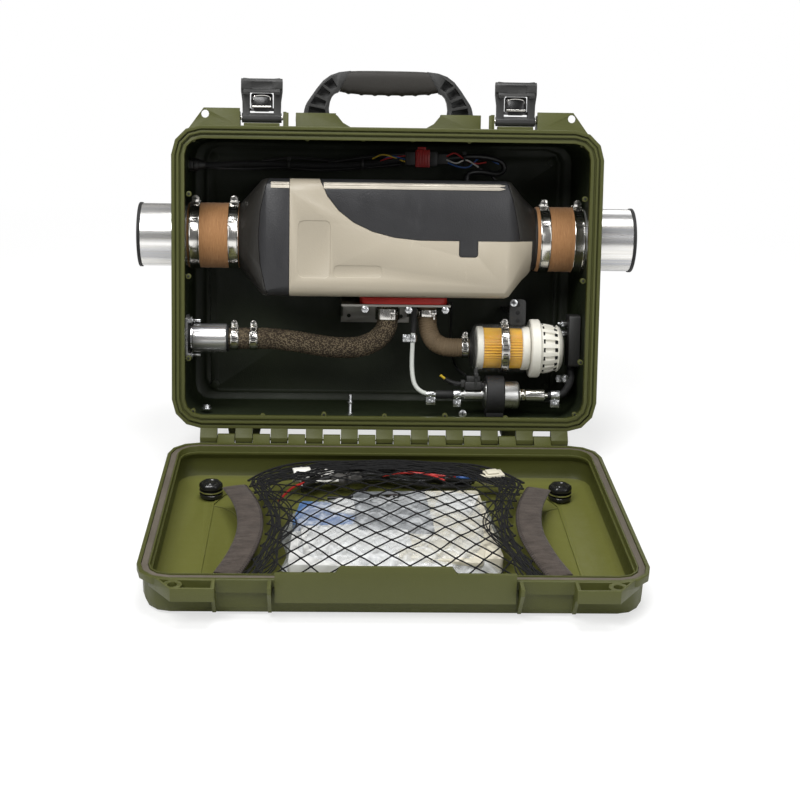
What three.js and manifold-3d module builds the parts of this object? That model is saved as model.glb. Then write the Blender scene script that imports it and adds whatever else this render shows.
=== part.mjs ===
// A portable diesel air heater mounted in a moulded carrying case, standing open.
//
// Units are millimetres, +Z is up. The origin is the middle of the lid's outer face, which
// lies on the floor. The lid lies open towards -Y and the base stands behind it, leaning back
// on its hinge side. Each half of the case is drawn rim up in its own frame: the hinge pin is
// the x axis, y runs from the pin to the latch side, and z is the height above the rim plane,
// so the inside of a half has negative z.
import * as THREE from 'three';
import { mergeVertices } from 'three/addons/utils/BufferGeometryUtils.js';
import Module from 'manifold-3d';

const wasm = await Module();
wasm.setup();

// ---------------------------------------------------------------- driving dimensions

const CLEARANCE = 0.35; // gap between pieces that rest on or in each other
const RUNNING = 0.5; // gap round pieces that turn

// Case
const CASE_WIDTH = 500; // over the rim bead, left to right
const CASE_HEIGHT = 352; // over the rim bead, hinge side to latch side
const BASE_DEPTH = 155; // rim plane to the back of the base
const LID_DEPTH = 43; // rim plane to the outside of the lid
const WALL = 3.2;
const PANEL_LINE = 1.4; // height of the raised line round each inner panel
const DRAFT = Math.tan(THREE.MathUtils.degToRad(1.5));
const PADLOCK_RADIUS = 4.7;
const CORNER_RADIUS = 34; // of the rim bead, seen from the front
const EDGE_RADIUS = 12; // between the walls and the outer face
const PIN_TO_BEAD = 11.7; // hinge pin to the rim bead
const LEAN = THREE.MathUtils.degToRad(12); // of the standing base
const RIM_GAP = 0.4; // each rim face lies this far below the rim plane
const BEAD_DEPTH = 8; // height of the bead round the rim
const WALL_INSET = 5; // bead to the outside of the wall
const OPENING_INSET = 15; // bead to the mouth of the case
const GROOVE_OUTER = 4; // bead to the outside of the seal groove
const GROOVE_INNER = 11.5;
const GROOVE_DEPTH = 3.6;
const TONGUE_OUTER = 6.4; // ridge on the base that presses into the lid's gasket
const TONGUE_INNER = 8.8;
const TONGUE_HEIGHT = 0.9;
const GASKET_HEIGHT = 1.8;

// Hinge
const PIN_RADIUS = 2;
const KNUCKLE_RADIUS = 6;
const KNUCKLE_COUNT = 21;
const HINGE_LENGTH = 434;
const KNUCKLE_GAP = 0.8;

// Latches
const LATCH_X = 146.5; // middle of a latch from the middle of the case
const LATCH_WIDTH = 47.6;
const LATCH_LENGTH = 45; // pivot to the end of the top bar
const PIVOT_RISE = 9.3; // rim bead to the pivots of the latches and the handle
const LATCH_PIVOT_DEPTH = 10.5;
const LATCH_BARREL = 5.6;
const LATCH_TRUNNION = 2.6;
const LATCH_BAR_HEIGHT = 15;
const LEVER_RISE = 9.5; // latch pivot to lever pivot
const LEVER_LENGTH = 17;
const EAR_THICKNESS = 3.6;
const EAR_PLAY = 1; // beside the latch, on both sides
const EAR_RISE = 16.3; // rim bead to the top of the ears
const CATCH_DEPTH = 14.5; // lower edge of the lid's catch bar

// Handle
const HANDLE_PIVOT_DEPTH = 31;
const HANDLE_HEIGHT = 57; // over its pivots
const GRIP_HEIGHT = 27;
const GRIP_HALF_LENGTH = 50.5; // at half height
const GRIP_SLANT = 0.55; // sideways lean of the grip's ends
const GRIP_THICKNESS = 23;
const ARM_FOOT_INNER = 68;
const ARM_FOOT_OUTER = 99;
const ARM_THICKNESS = 15;
const HANDLE_PIN = 3;
const CORE_HEIGHT = 13;
const CORE_THICKNESS = 11;
const BRACKET_DEPTH = 19; // rim plane to the handle bracket's front plate
const BRACKET_PLATE = 3.4;

// Lid front band
const BAND_GAP = 2.3; // rim bead to the band
const BAND_THICKNESS = 3.5;
const BAND_SIDE_GAP = 3.1; // band to the latch ribs beside it
const BAND_RISE = 9; // over the rim plane
const TAB_HALF_WIDTH = 53;
const TAB_RISE = 16;

// Heater
const HEATER_X = 2; // middle of the heater from the middle of the case
const HEATER_RISE = 47.8; // middle of the case to the axis of the ducts
const HEATER_DEPTH = 80; // rim plane to the axis of the ducts
const HEATER_HALF_LENGTH = 176.5;
const HEATER_HALF_HEIGHT = 69;
const HEATER_HALF_THICKNESS = 64;
const CASING_WALL = 3;
const CASING_GAP = 0.45; // between neighbouring casing pieces
const SEAM_DROP = 1.5; // axis to the level part of the seam between the light and dark casings

// Warm air ducts
const DUCT_RADIUS = 37.5;
const DUCT_WALL = 1.2;
const DUCT_PROUD = 48; // rim bead to the open end
const HOOD_EASE = 1.1; // duct to the round mouth at both ends of the heater
const SLEEVE_WALL = 1.5;
const SLEEVE_END = 12; // rim bead to the outer end of a sleeve
const CLAMP_WIDTH = 12;
const CLAMP_BAND = 1.1;

// Ports under the heater
const PORT_DEPTH = 72;
const EXHAUST_PORT = 2; // ports from the middle of the heater
const INTAKE_PORT = 50.5;
const FUEL_PORT = 33.5;
const FUEL_PORT_DEPTH = 60;
const GASKET_PLATE = 8;
const BRACKET_SHEET = 2.4;
const STUB_LENGTH = 18; // of the port spigots under the bracket

// Hoses
const SPIGOT_EASE = 1; // radius taken off a spigot inside a hose

// Exhaust
const EXHAUST_DROP = 124; // axis of the ducts to the wall outlet
const EXHAUST_INSIDE = 61; // rim bead to the joint of hose and wall tube
const EXHAUST_SPIGOT = 43; // length inside the hose
const EXHAUST_HOSE_RADIUS = 13;
const EXHAUST_HOSE_BORE = 10.6;
const EXHAUST_TUBE_STEP = 1.6; // wall tube's radius over the hose's

// Combustion air
const INTAKE_HOSE_RADIUS = 11.5;
const INTAKE_HOSE_BORE = 9;
const FILTER_DROP = 131.5; // axis of the ducts to the filter's
const FILTER_DEPTH = 62;
const CANISTER_RADIUS = 29.5;
const CANISTER_WALL = 1.8;
const CANISTER_LENGTH = 69;
const ELEMENT_GAP = 3.2; // pleats to the inside of the canister
const ELEMENT_START = 10; // along the canister
const CAP_STEP = 6; // cap ring over the canister
const CAP_RING = 12;
const CAP_DOME = 29;

// Fuel
const PUMP_RISE = 36.3; // rim bead on the hinge side to the pump's axis
const PUMP_DEPTH = 50;
const PUMP_X = [97, 122, 164, 195];
const PUMP_RADIUS = 17.2;
const PUMP_STEM_RADIUS = 6.4;
const PUMP_HEX_RADIUS = 7.9;
const PUMP_RING_WALL = 6.4;
const PUMP_RING_X = [123, 145];
const FUEL_LINE_RADIUS = 2.9;
const INLET_HOSE_RADIUS = 4.6;
const SERVICE_RISE = [33, 96]; // pump's axis to the ends of the service block
const SERVICE_THICKNESS = 14;
const INLET_STUB = 5;
const SERVICE_DEPTH = [64, 94];

// Wiring
const GLAND_THREAD = 5;

// Storage in the lid
const NET_COLUMNS = 10;
const NET_ROWS = 8;
const NET_THICKNESS = 2;
const NET_EDGE_LEVEL = -17.5; // where the net tucks under the rim's lip
const STRAND_SHARE = 0.14; // part of a diamond's half width that is strand
const POST_INSET = 52; // rim bead to the middle of a post
const NET_SIDE_INSET = 92;
const POST_Y = 82;
const POST_HEIGHT = 18;

// Facets of a full turn
const ROUND = 16; // ducts
const FILTER_ROUND = 16;
const SMALL_ROUND = 10; // hoses, spigots and the pump
const FINE_ROUND = 8; // pins and screws
const CABLE_SIDES = 8;
const CORNER_STEPS = 3; // in each corner of the case

// Derived places
const wallInset = (z) => WALL_INSET - DRAFT * z; // rim bead to the outside of the wall
const SIDE = CASE_WIDTH / 2; // middle of the case to the rim bead
const CASE_MIDDLE = PIN_TO_BEAD + CASE_HEIGHT / 2; // pin to the middle of either half
const LATCH_SIDE = PIN_TO_BEAD + CASE_HEIGHT;
const LID_FLOOR = WALL - LID_DEPTH;
const BASE_FLOOR = WALL - BASE_DEPTH;
const LATCH_PIVOT_Y = LATCH_SIDE + PIVOT_RISE;
const HANDLE_PIVOT_Y = LATCH_PIVOT_Y;
const HANDLE_TOP = HANDLE_PIVOT_Y + HANDLE_HEIGHT;
const EAR_TOP = LATCH_SIDE + EAR_RISE;
const OUTER_EAR = LATCH_X + LATCH_WIDTH / 2 + EAR_PLAY; // where each ear of a latch begins
const INNER_EAR = LATCH_X - LATCH_WIDTH / 2 - EAR_PLAY - EAR_THICKNESS;
const BAND_START = LATCH_SIDE + BAND_GAP;
const BAND_HALF_WIDTH = INNER_EAR - BAND_SIDE_GAP;
const HEATER_Y = CASE_MIDDLE + HEATER_RISE;
const HEATER_AXIS = [HEATER_Y, -HEATER_DEPTH];
const heaterX = (offset) => HEATER_X + offset;
const SEAM_Y = HEATER_Y - SEAM_DROP;
const HOOD_RADIUS = DUCT_RADIUS + HOOD_EASE;
const DUCT_REACH = SIDE + DUCT_PROUD;
const SLEEVE_LEFT = [SLEEVE_END - SIDE, heaterX(-HEATER_HALF_LENGTH) - CLEARANCE];
const SLEEVE_RIGHT = [heaterX(HEATER_HALF_LENGTH) + 2.5, SIDE - SLEEVE_END];
const CLAMP_X = [
  SLEEVE_LEFT[0] + 10, SLEEVE_LEFT[1] - 7, SLEEVE_RIGHT[0] + 10, SLEEVE_RIGHT[1] - 6.5,
];
const EXHAUST_PORT_X = heaterX(EXHAUST_PORT);
const INTAKE_PORT_X = heaterX(INTAKE_PORT);
const FUEL_PORT_X = heaterX(FUEL_PORT);
const FOOT_FACE = HEATER_Y - HEATER_HALF_HEIGHT - 1; // underside of the heater's foot
const GASKET_TOP = FOOT_FACE - CLEARANCE;
const SHEET_TOP = GASKET_TOP - GASKET_PLATE - CLEARANCE;
const STUB_END = SHEET_TOP - BRACKET_SHEET - STUB_LENGTH;
const EXHAUST_Y = HEATER_Y - EXHAUST_DROP;
const EXHAUST_AXIS = [EXHAUST_Y, -PORT_DEPTH];
const EXHAUST_JOIN = EXHAUST_INSIDE - SIDE;
const EXHAUST_TUBE_RADIUS = EXHAUST_HOSE_RADIUS + EXHAUST_TUBE_STEP;
const FILTER_Y = HEATER_Y - FILTER_DROP;
const FILTER_AXIS = [FILTER_Y, -FILTER_DEPTH];
const CANISTER_START = INTAKE_PORT_X + 54.5;
const CANISTER_END = CANISTER_START + CANISTER_LENGTH;
const ELEMENT_RADIUS = CANISTER_RADIUS - CANISTER_WALL - ELEMENT_GAP;
const CAP_RADIUS = CANISTER_RADIUS + CAP_STEP;
const CAP_DOME_RADIUS = CANISTER_RADIUS + 1;
const PUMP_Y = PIN_TO_BEAD + PUMP_RISE;
const PUMP_AXIS = [PUMP_Y, -PUMP_DEPTH];
const PUMP_RING_RADIUS = PUMP_RADIUS + PUMP_RING_WALL;
const LINE_END = PUMP_X[0] - 12;
const SERVICE_Y = SERVICE_RISE.map((rise) => PUMP_Y + rise);
const SERVICE_STUB_Y = PUMP_Y + 64;
const SERVICE_STUB_DEPTH = (SERVICE_DEPTH[0] + SERVICE_DEPTH[1]) / 2;
const GLAND_Y = LATCH_SIDE - 43.7;
const GLAND_DEPTH = 100;
const HARNESS_Y = LATCH_SIDE - 32.7;
const HARNESS_DEPTH = 100;
const CONNECTOR_X = [36, 54];
const POST_X = SIDE - POST_INSET;
const NET_HALF_WIDTH = SIDE - NET_SIDE_INSET;
const NET_INSET = wallInset(NET_EDGE_LEVEL) + WALL + CLEARANCE;
const NET_BACK = PIN_TO_BEAD + NET_INSET;
const NET_FRONT = LATCH_SIDE - NET_INSET;
const PADLOCK_X = SIDE - 39;
const PADLOCK_Y = LATCH_SIDE + 12.8;
const EXCHANGER_X = [heaterX(-30), heaterX(130)];
const PLUG_PLACE = [HEATER_Y + 14, -HEATER_DEPTH];
const MOTOR_X = [heaterX(-94), heaterX(-46)];
const IMPELLER_X = heaterX(-126);
const WHEEL_X = heaterX(-42);

// ---------------------------------------------------------------- materials

const finish = (color, roughness, metalness = 0) =>
  new THREE.MeshStandardMaterial({ color, roughness, metalness });

const OLIVE = finish(0x4c5230, 0.55);
const BLACK_PLASTIC = finish(0x1c1b1a, 0.5);
const DARK_PLASTIC = finish(0x2f2e30, 0.45);
const CREAM_PLASTIC = finish(0xb8b09b, 0.45);
const BLACK_RUBBER = finish(0x141414, 0.8);
const GASKET_RUBBER = finish(0x6d6253, 0.85);
const RED_RUBBER = finish(0x9c1c12, 0.6);
const TAN_SLEEVE = finish(0xb98449, 0.8);
const STEEL = finish(0xc9c6bf, 0.3, 1);
const ALUMINIUM = finish(0xb3b5b5, 0.35, 1);
const ZINC_PLATE = finish(0x7f7d78, 0.45, 1);
const BRAID = finish(0x6b5b42, 0.7, 0.4);
const BROWN_HOSE = finish(0x6f5138, 0.8);
const CLEAR_PLASTIC = finish(0xd8dcd2, 0.15);
const FILTER_PAPER = finish(0xd9a32c, 0.8);
const OFF_WHITE = finish(0xe2ddd0, 0.5);
const CIRCUIT_BOARD = finish(0x1f5b34, 0.5);
const SUEDE = finish(0x5b514b, 0.95);
const NET_CORD = finish(0x16161a, 0.8);

// ---------------------------------------------------------------- solids

function toSolid(geometry) {
  const bare = geometry.clone();
  bare.deleteAttribute('normal');
  bare.deleteAttribute('uv');
  const merged = mergeVertices(bare, 1e-4);
  const index = merged.index.array;
  const triangles = [];
  for (let i = 0; i < index.length; i += 3) {
    const [a, b, c] = [index[i], index[i + 1], index[i + 2]];
    if (a !== b && b !== c && c !== a) triangles.push(a, b, c);
  }
  return new wasm.Manifold(new wasm.Mesh({
    numProp: 3,
    vertProperties: new Float32Array(merged.attributes.position.array),
    triVerts: new Uint32Array(triangles),
  }));
}

function toGeometry(solid) {
  const mesh = solid.getMesh();
  const geometry = new THREE.BufferGeometry();
  geometry.setAttribute('position', new THREE.BufferAttribute(mesh.vertProperties, 3));
  geometry.setIndex(new THREE.BufferAttribute(mesh.triVerts, 1));
  geometry.computeVertexNormals();
  return geometry;
}

const join = (first, ...rest) => rest.reduce((sum, solid) => sum.add(solid), first);
const cut = (first, ...rest) => rest.reduce((left, solid) => left.subtract(solid), first);

// Turns a shape drawn in the two axes after `axis` (in the order x, y, z, x) and raised
// along its third axis, so that it is raised along `axis`.
const AXIS_FRAMES = {
  x: new THREE.Matrix4().makeBasis(
    new THREE.Vector3(0, 1, 0), new THREE.Vector3(0, 0, 1), new THREE.Vector3(1, 0, 0)),
  y: new THREE.Matrix4().makeBasis(
    new THREE.Vector3(0, 0, 1), new THREE.Vector3(1, 0, 0), new THREE.Vector3(0, 1, 0)),
  z: new THREE.Matrix4(),
};

function block([x0, x1], [y0, y1], [z0, z1]) {
  const geometry = new THREE.BoxGeometry(x1 - x0, y1 - y0, z1 - z0);
  return toSolid(geometry.translate((x0 + x1) / 2, (y0 + y1) / 2, (z0 + z1) / 2));
}

function prism(axis, shape, from, to, curveSegments = 2) {
  const geometry = new THREE.ExtrudeGeometry(shape, {
    depth: to - from, bevelEnabled: false, curveSegments,
  });
  geometry.translate(0, 0, from);
  return toSolid(geometry.applyMatrix4(AXIS_FRAMES[axis]));
}

function circle(radius, sides, centre = [0, 0], phase = 0) {
  const points = [];
  for (let i = 0; i < sides; i += 1) {
    const angle = phase + (i / sides) * 2 * Math.PI;
    const [u, v] = [Math.cos(angle), Math.sin(angle)];
    points.push(new THREE.Vector2(centre[0] + radius * u, centre[1] + radius * v));
  }
  return points;
}

function rod(axis, radius, from, to, centre, sides = SMALL_ROUND) {
  return prism(axis, new THREE.Shape(circle(radius, sides, centre)), from, to);
}

function pipe(axis, outer, inner, from, to, centre, sides = ROUND) {
  const shape = new THREE.Shape(circle(outer, sides, centre));
  shape.holes.push(new THREE.Path(circle(inner, sides, centre).reverse()));
  return prism(axis, shape, from, to);
}

function polygon(points) {
  return new THREE.Shape(points.map(([u, v]) => new THREE.Vector2(u, v)));
}

function roundedRectangle(u0, u1, v0, v1, radius) {
  const shape = new THREE.Shape();
  shape.absarc(u1 - radius, v0 + radius, radius, -Math.PI / 2, 0);
  shape.absarc(u1 - radius, v1 - radius, radius, 0, Math.PI / 2);
  shape.absarc(u0 + radius, v1 - radius, radius, Math.PI / 2, Math.PI);
  shape.absarc(u0 + radius, v0 + radius, radius, Math.PI, 1.5 * Math.PI);
  return shape;
}

// Points of a rounded rectangle, anticlockwise, the same number for any size and radius.
function roundedPoints(halfU, halfV, radius, perCorner) {
  const corner = Math.min(radius, halfU - 0.6, halfV - 0.6);
  const points = [];
  for (let quarter = 0; quarter < 4; quarter += 1) {
    const signU = quarter === 0 || quarter === 3 ? 1 : -1;
    const signV = quarter < 2 ? 1 : -1;
    for (let i = 0; i <= perCorner; i += 1) {
      const angle = (quarter + i / perCorner) * (Math.PI / 2);
      points.push([
        signU * (halfU - corner) + corner * Math.cos(angle),
        signV * (halfV - corner) + corner * Math.sin(angle),
      ]);
    }
  }
  return points;
}

// Skins rings of points that run anticlockwise round the direction from first to last.
function loft(rings) {
  const count = rings[0].length;
  const positions = rings.flat(2);
  const index = [];
  for (let level = 0; level + 1 < rings.length; level += 1) {
    for (let i = 0; i < count; i += 1) {
      const a = level * count + i;
      const b = level * count + ((i + 1) % count);
      index.push(a, b, b + count, a, b + count, a + count);
    }
  }
  const last = (rings.length - 1) * count;
  for (let i = 1; i + 1 < count; i += 1) {
    index.push(0, i + 1, i, last, last + i, last + i + 1);
  }
  const geometry = new THREE.BufferGeometry();
  geometry.setAttribute('position', new THREE.Float32BufferAttribute(positions, 3));
  geometry.setIndex(index);
  return toSolid(geometry);
}

// Revolves [distance, radius] points, which start and end on the axis, about an x axis.
function turned(points, [y, z], sides = SMALL_ROUND) {
  const profile = points.map(([along, radius]) => new THREE.Vector2(radius, along));
  const geometry = new THREE.LatheGeometry(profile, sides);
  geometry.applyMatrix4(new THREE.Matrix4().makeBasis(
    new THREE.Vector3(0, 1, 0), new THREE.Vector3(1, 0, 0), new THREE.Vector3(0, 0, -1)));
  return toSolid(geometry.translate(0, y, z));
}

function sweep(points, radius, steps, sides = CABLE_SIDES) {
  const curve = new THREE.CatmullRomCurve3(
    points.map((point) => new THREE.Vector3(...point)), false, 'centripetal');
  const shape = new THREE.Shape(circle(radius, sides));
  return toSolid(new THREE.ExtrudeGeometry(shape, { steps, extrudePath: curve }));
}

const group = new THREE.Group();
group.name = 'diesel_air_heater';

const lidPlace = new THREE.Group();
lidPlace.position.set(0, CASE_MIDDLE, LID_DEPTH);
lidPlace.rotation.z = Math.PI;
const basePlace = new THREE.Group();
basePlace.position.set(0, CASE_MIDDLE, LID_DEPTH);
basePlace.rotation.x = Math.PI / 2 - LEAN;
group.add(lidPlace, basePlace);
group.updateMatrixWorld(true);

function addPiece(place, name, material, solid) {
  const mesh = new THREE.Mesh(toGeometry(solid), material);
  mesh.name = name;
  place.add(mesh);
}

// ---------------------------------------------------------------- case shells

function caseRing(inset, z) {
  const points = roundedPoints(
    CASE_WIDTH / 2 - inset, CASE_HEIGHT / 2 - inset,
    Math.max(CORNER_RADIUS - inset, 6), CORNER_STEPS);
  return points.map(([x, y]) => [x, y + CASE_MIDDLE, z]);
}

// Rings of a rounded bottom edge, from the flat face at z = floor up to the wall.
function edgeRings(floor, radius, extraInset) {
  return [0, 45, 90].map((degrees) => {
    const angle = THREE.MathUtils.degToRad(degrees);
    const z = floor + radius * (1 - Math.cos(angle));
    return caseRing(wallInset(z) + extraInset + radius * (1 - Math.sin(angle)), z);
  });
}

function tubBody(depth) {
  const shoulder = -BEAD_DEPTH - 4;
  return loft([
    ...edgeRings(-depth, EDGE_RADIUS, 0),
    caseRing(wallInset(shoulder), shoulder),
    caseRing(0, -BEAD_DEPTH),
    caseRing(0, -RIM_GAP - 0.8),
    caseRing(0.8, -RIM_GAP),
  ]);
}

function tubCavity(depth, ledge) {
  return loft([
    ...edgeRings(WALL - depth, EDGE_RADIUS - WALL, WALL),
    caseRing(wallInset(ledge - 7) + WALL, ledge - 7),
    caseRing(OPENING_INSET, ledge),
    caseRing(OPENING_INSET, 5),
  ]);
}

function rimRing(outer, inner, from, to) {
  return cut(
    loft([caseRing(outer, from), caseRing(outer, to)]),
    loft([caseRing(inner, from - 1), caseRing(inner, to + 1)]));
}

const sealGroove = () => rimRing(GROOVE_OUTER, GROOVE_INNER, -GROOVE_DEPTH, 5);

// Hinge knuckles alternate between the two halves along the pin.
function knuckles(isBase) {
  const pitch = HINGE_LENGTH / KNUCKLE_COUNT;
  const profile = new THREE.Shape();
  profile.absarc(0, 0, KNUCKLE_RADIUS, 0.4 * Math.PI, 1.5 * Math.PI, false);
  profile.lineTo(PIN_TO_BEAD + 2, -KNUCKLE_RADIUS - 1);
  profile.lineTo(PIN_TO_BEAD + 2, -RIM_GAP - 1);
  const solids = [];
  for (let i = isBase ? 0 : 1; i < KNUCKLE_COUNT; i += 2) {
    const start = -HINGE_LENGTH / 2 + i * pitch + KNUCKLE_GAP / 2;
    solids.push(prism('x', profile, start, start + pitch - KNUCKLE_GAP));
  }
  return solids;
}

const pinBore = () => rod(
  'x', PIN_RADIUS + 0.6, -HINGE_LENGTH, HINGE_LENGTH, [0, 0], 6);

const mirrored = (build) => [build(1), build(-1)];

// Outline of the corner flange that takes a padlock, on the side where x has this sign.
function flangeOutline(side, inset = 0) {
  const shape = new THREE.Shape();
  const top = LATCH_SIDE + 19.8 - inset;
  const end = LATCH_SIDE - 78.7;
  shape.moveTo(side * (OUTER_EAR + inset), LATCH_SIDE - 8);
  shape.lineTo(side * (OUTER_EAR + inset), top);
  shape.lineTo(side * (SIDE - 37.5), top);
  shape.bezierCurveTo(side * (SIDE - 18 - inset), top - 5.5,
    side * (SIDE - 4 - inset), end + 50, side * (SIDE - 4 - inset), end);
  shape.lineTo(side * (SIDE - 12), end);
  shape.lineTo(side * (SIDE - 28), end + 55);
  return shape;
}

// Two numbers in rising order, mirrored to the side where x has this sign.
const reach = (side, from, to) => [side * from, side * to].sort((a, b) => a - b);

function latchEars(depthFrom, depthTo, top) {
  return mirrored((side) => [OUTER_EAR, INNER_EAR].map((start) => {
    const ear = reach(side, start, start + EAR_THICKNESS);
    return prism('x', polygon([
      [LATCH_SIDE - 12, -depthTo - 6], [top, -depthTo],
      [top, -depthFrom], [LATCH_SIDE - 12, -depthFrom],
    ]), ...ear);
  })).flat();
}

// Box bracket that carries one foot of the handle.
function handleBracket(side) {
  const outer = ARM_FOOT_OUTER + 5;
  const inner = ARM_FOOT_INNER - 7;
  const plate = polygon([
    [outer + EAR_THICKNESS, LATCH_SIDE - 7], [outer + EAR_THICKNESS, EAR_TOP],
    [inner + 3, EAR_TOP], [inner - 2, EAR_TOP - 3], [inner - 8, EAR_TOP - 10.5],
    [inner - 19, LATCH_SIDE - 0.5], [inner - 23, LATCH_SIDE - 7],
  ].map(([x, y]) => [side * x, y]));
  const ears = [outer, inner].map((start) => {
    const ear = reach(side, start, start + EAR_THICKNESS);
    const back = BRACKET_DEPTH + 23;
    return prism('x', polygon([
      [LATCH_SIDE - 8, -back - 8], [EAR_TOP - 6, -back], [EAR_TOP, -back + 6],
      [EAR_TOP, -BRACKET_DEPTH], [LATCH_SIDE - 8, -BRACKET_DEPTH],
    ]), ...ear);
  });
  return join(
    prism('z', plate, -BRACKET_DEPTH - BRACKET_PLATE, -BRACKET_DEPTH), ...ears);
}

// Moulded feet on the hinge side, cut level with the floor under the leaning base.
function standFeet() {
  const wall = PIN_TO_BEAD + WALL_INSET + 4;
  const feet = mirrored((side) => {
    const middle = side * (SIDE - 78);
    const ring = (y, halfX, front, back) => [
      [middle - halfX, y, back - BASE_DEPTH], [middle - halfX, y, front - BASE_DEPTH],
      [middle + halfX, y, front - BASE_DEPTH], [middle + halfX, y, back - BASE_DEPTH],
    ];
    return loft([ring(13 - LID_DEPTH, 17, 33, 11), ring(wall + 2, 24, 43, 5)]);
  });
  const floor = new THREE.BoxGeometry(2 * CASE_WIDTH, 2 * CASE_HEIGHT, 100)
    .translate(0, 0, -50);
  floor.applyMatrix4(basePlace.matrixWorld.clone().invert());
  return feet.map((foot) => cut(foot, toSolid(floor)));
}

const DUCT_HOLE = DUCT_RADIUS + 0.7;
const BOSS_X = SIDE - 39;
const BOSS_SPREAD = CASE_HEIGHT / 2 - 33;

function makeBaseShell() {
  const panel = (inset, from, to) => prism('z', roundedRectangle(
    27 + inset - SIDE, SIDE - 27 - inset, PIN_TO_BEAD + 23.3 + inset, LATCH_SIDE - 17.7 - inset,
    18 - inset), from, to, 1);
  const outside = SIDE + 50;
  const wallHole = (side, radius, y, depth, sides) => rod(
    'x', radius, ...reach(side, SIDE - 50, outside), [y, -depth], sides);
  let shell = join(
    tubBody(BASE_DEPTH),
    ...mirrored((side) => prism('z', flangeOutline(side), -5.4, -RIM_GAP - 0.6)),
    ...mirrored((side) => block(
      reach(side, BAND_HALF_WIDTH + RUNNING, INNER_EAR + 1), [LATCH_SIDE - 8, EAR_TOP - 1],
      [-6, -RIM_GAP - 0.6])),
    ...latchEars(3, 19, EAR_TOP),
    ...mirrored(handleBracket),
    ...knuckles(true),
    ...standFeet());
  shell = cut(shell, tubCavity(BASE_DEPTH, -BEAD_DEPTH - 2), sealGroove(),
    rimRing(GROOVE_INNER - 0.1, OPENING_INSET + 3, -1.3, 5));
  const border = cut(
    panel(0, BASE_FLOOR - 1, BASE_FLOOR + PANEL_LINE), panel(3, BASE_FLOOR - 2, BASE_FLOOR + 3));
  const bosses = [[-1, -1], [-1, 1], [1, -1], [1, 1]].map(([sx, sy]) => rod(
    'z', 5.5, BASE_FLOOR - 1, BASE_FLOOR + 4,
    [sx * BOSS_X, CASE_MIDDLE + sy * BOSS_SPREAD], FINE_ROUND));
  shell = join(shell, rimRing(TONGUE_OUTER, TONGUE_INNER, -GROOVE_DEPTH - 1, TONGUE_HEIGHT),
    border, ...bosses);
  return cut(shell, pinBore(),
    ...mirrored((side) => rod(
      'z', PADLOCK_RADIUS, -10, 2, [side * PADLOCK_X, PADLOCK_Y], 10)),
    ...mirrored((side) => rod(
      'x', LATCH_TRUNNION + 0.6, ...reach(side, INNER_EAR - 2, OUTER_EAR + EAR_THICKNESS + 2),
      [LATCH_PIVOT_Y, -LATCH_PIVOT_DEPTH], FINE_ROUND)),
    ...mirrored((side) => rod(
      'x', HANDLE_PIN + 0.6, ...reach(side, ARM_FOOT_INNER - 12, ARM_FOOT_OUTER + 12),
      [HANDLE_PIVOT_Y, -HANDLE_PIVOT_DEPTH], FINE_ROUND)),
    rod('x', DUCT_HOLE, -outside, outside, HEATER_AXIS, ROUND),
    wallHole(-1, EXHAUST_TUBE_RADIUS + 0.6, EXHAUST_Y, PORT_DEPTH),
    wallHole(-1, GLAND_THREAD + 0.6, GLAND_Y, GLAND_DEPTH, FINE_ROUND),
    wallHole(1, INLET_STUB + 0.5, SERVICE_STUB_Y, SERVICE_STUB_DEPTH, FINE_ROUND));
}

// Skirted flange on the lid's corner, with an open pocket and a ring for the padlock.
function lidFlange(side) {
  const outline = flangeOutline(side);
  const pocket = flangeOutline(side, 2.6);
  const keep = loft([caseRing(-2, -30), caseRing(-2, 5)]);
  const ring = rod('z', 9.5, -12, -RIM_GAP, [side * PADLOCK_X, PADLOCK_Y - 2]);
  const skirt = prism('z', outline, -14, -RIM_GAP);
  const hollow = cut(prism('z', pocket, -11, 5), keep, ring);
  return cut(skirt, hollow);
}

function lidRibs() {
  return mirrored((side) => [OUTER_EAR, INNER_EAR].map((start) => {
    const rib = reach(side, start, start + EAR_THICKNESS);
    return prism('x', polygon([
      [LATCH_SIDE - 14, 4 - LID_DEPTH], [LATCH_SIDE - 3, 6 - LID_DEPTH], [EAR_TOP - 4, -14],
      [EAR_TOP + 1, -8], [EAR_TOP + 1, -RIM_GAP - 0.4], [LATCH_SIDE - 8, -RIM_GAP - 0.4],
    ]), ...rib);
  })).flat();
}

function lidBand() {
  const face = polygon([
    [-BAND_HALF_WIDTH, -22], [BAND_HALF_WIDTH, -22], [BAND_HALF_WIDTH, BAND_RISE],
    [TAB_HALF_WIDTH + 5, BAND_RISE], [TAB_HALF_WIDTH, TAB_RISE],
    [-TAB_HALF_WIDTH, TAB_RISE], [-TAB_HALF_WIDTH - 5, BAND_RISE],
    [-BAND_HALF_WIDTH, BAND_RISE],
  ].map(([x, z]) => [z, x]));
  const plate = prism('y', face, BAND_START, BAND_START + BAND_THICKNESS);
  const shelf = block(
    [-BAND_HALF_WIDTH, BAND_HALF_WIDTH], [LATCH_SIDE - 7, BAND_START + 1], [-22, -3]);
  return join(plate, shelf);
}

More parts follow.
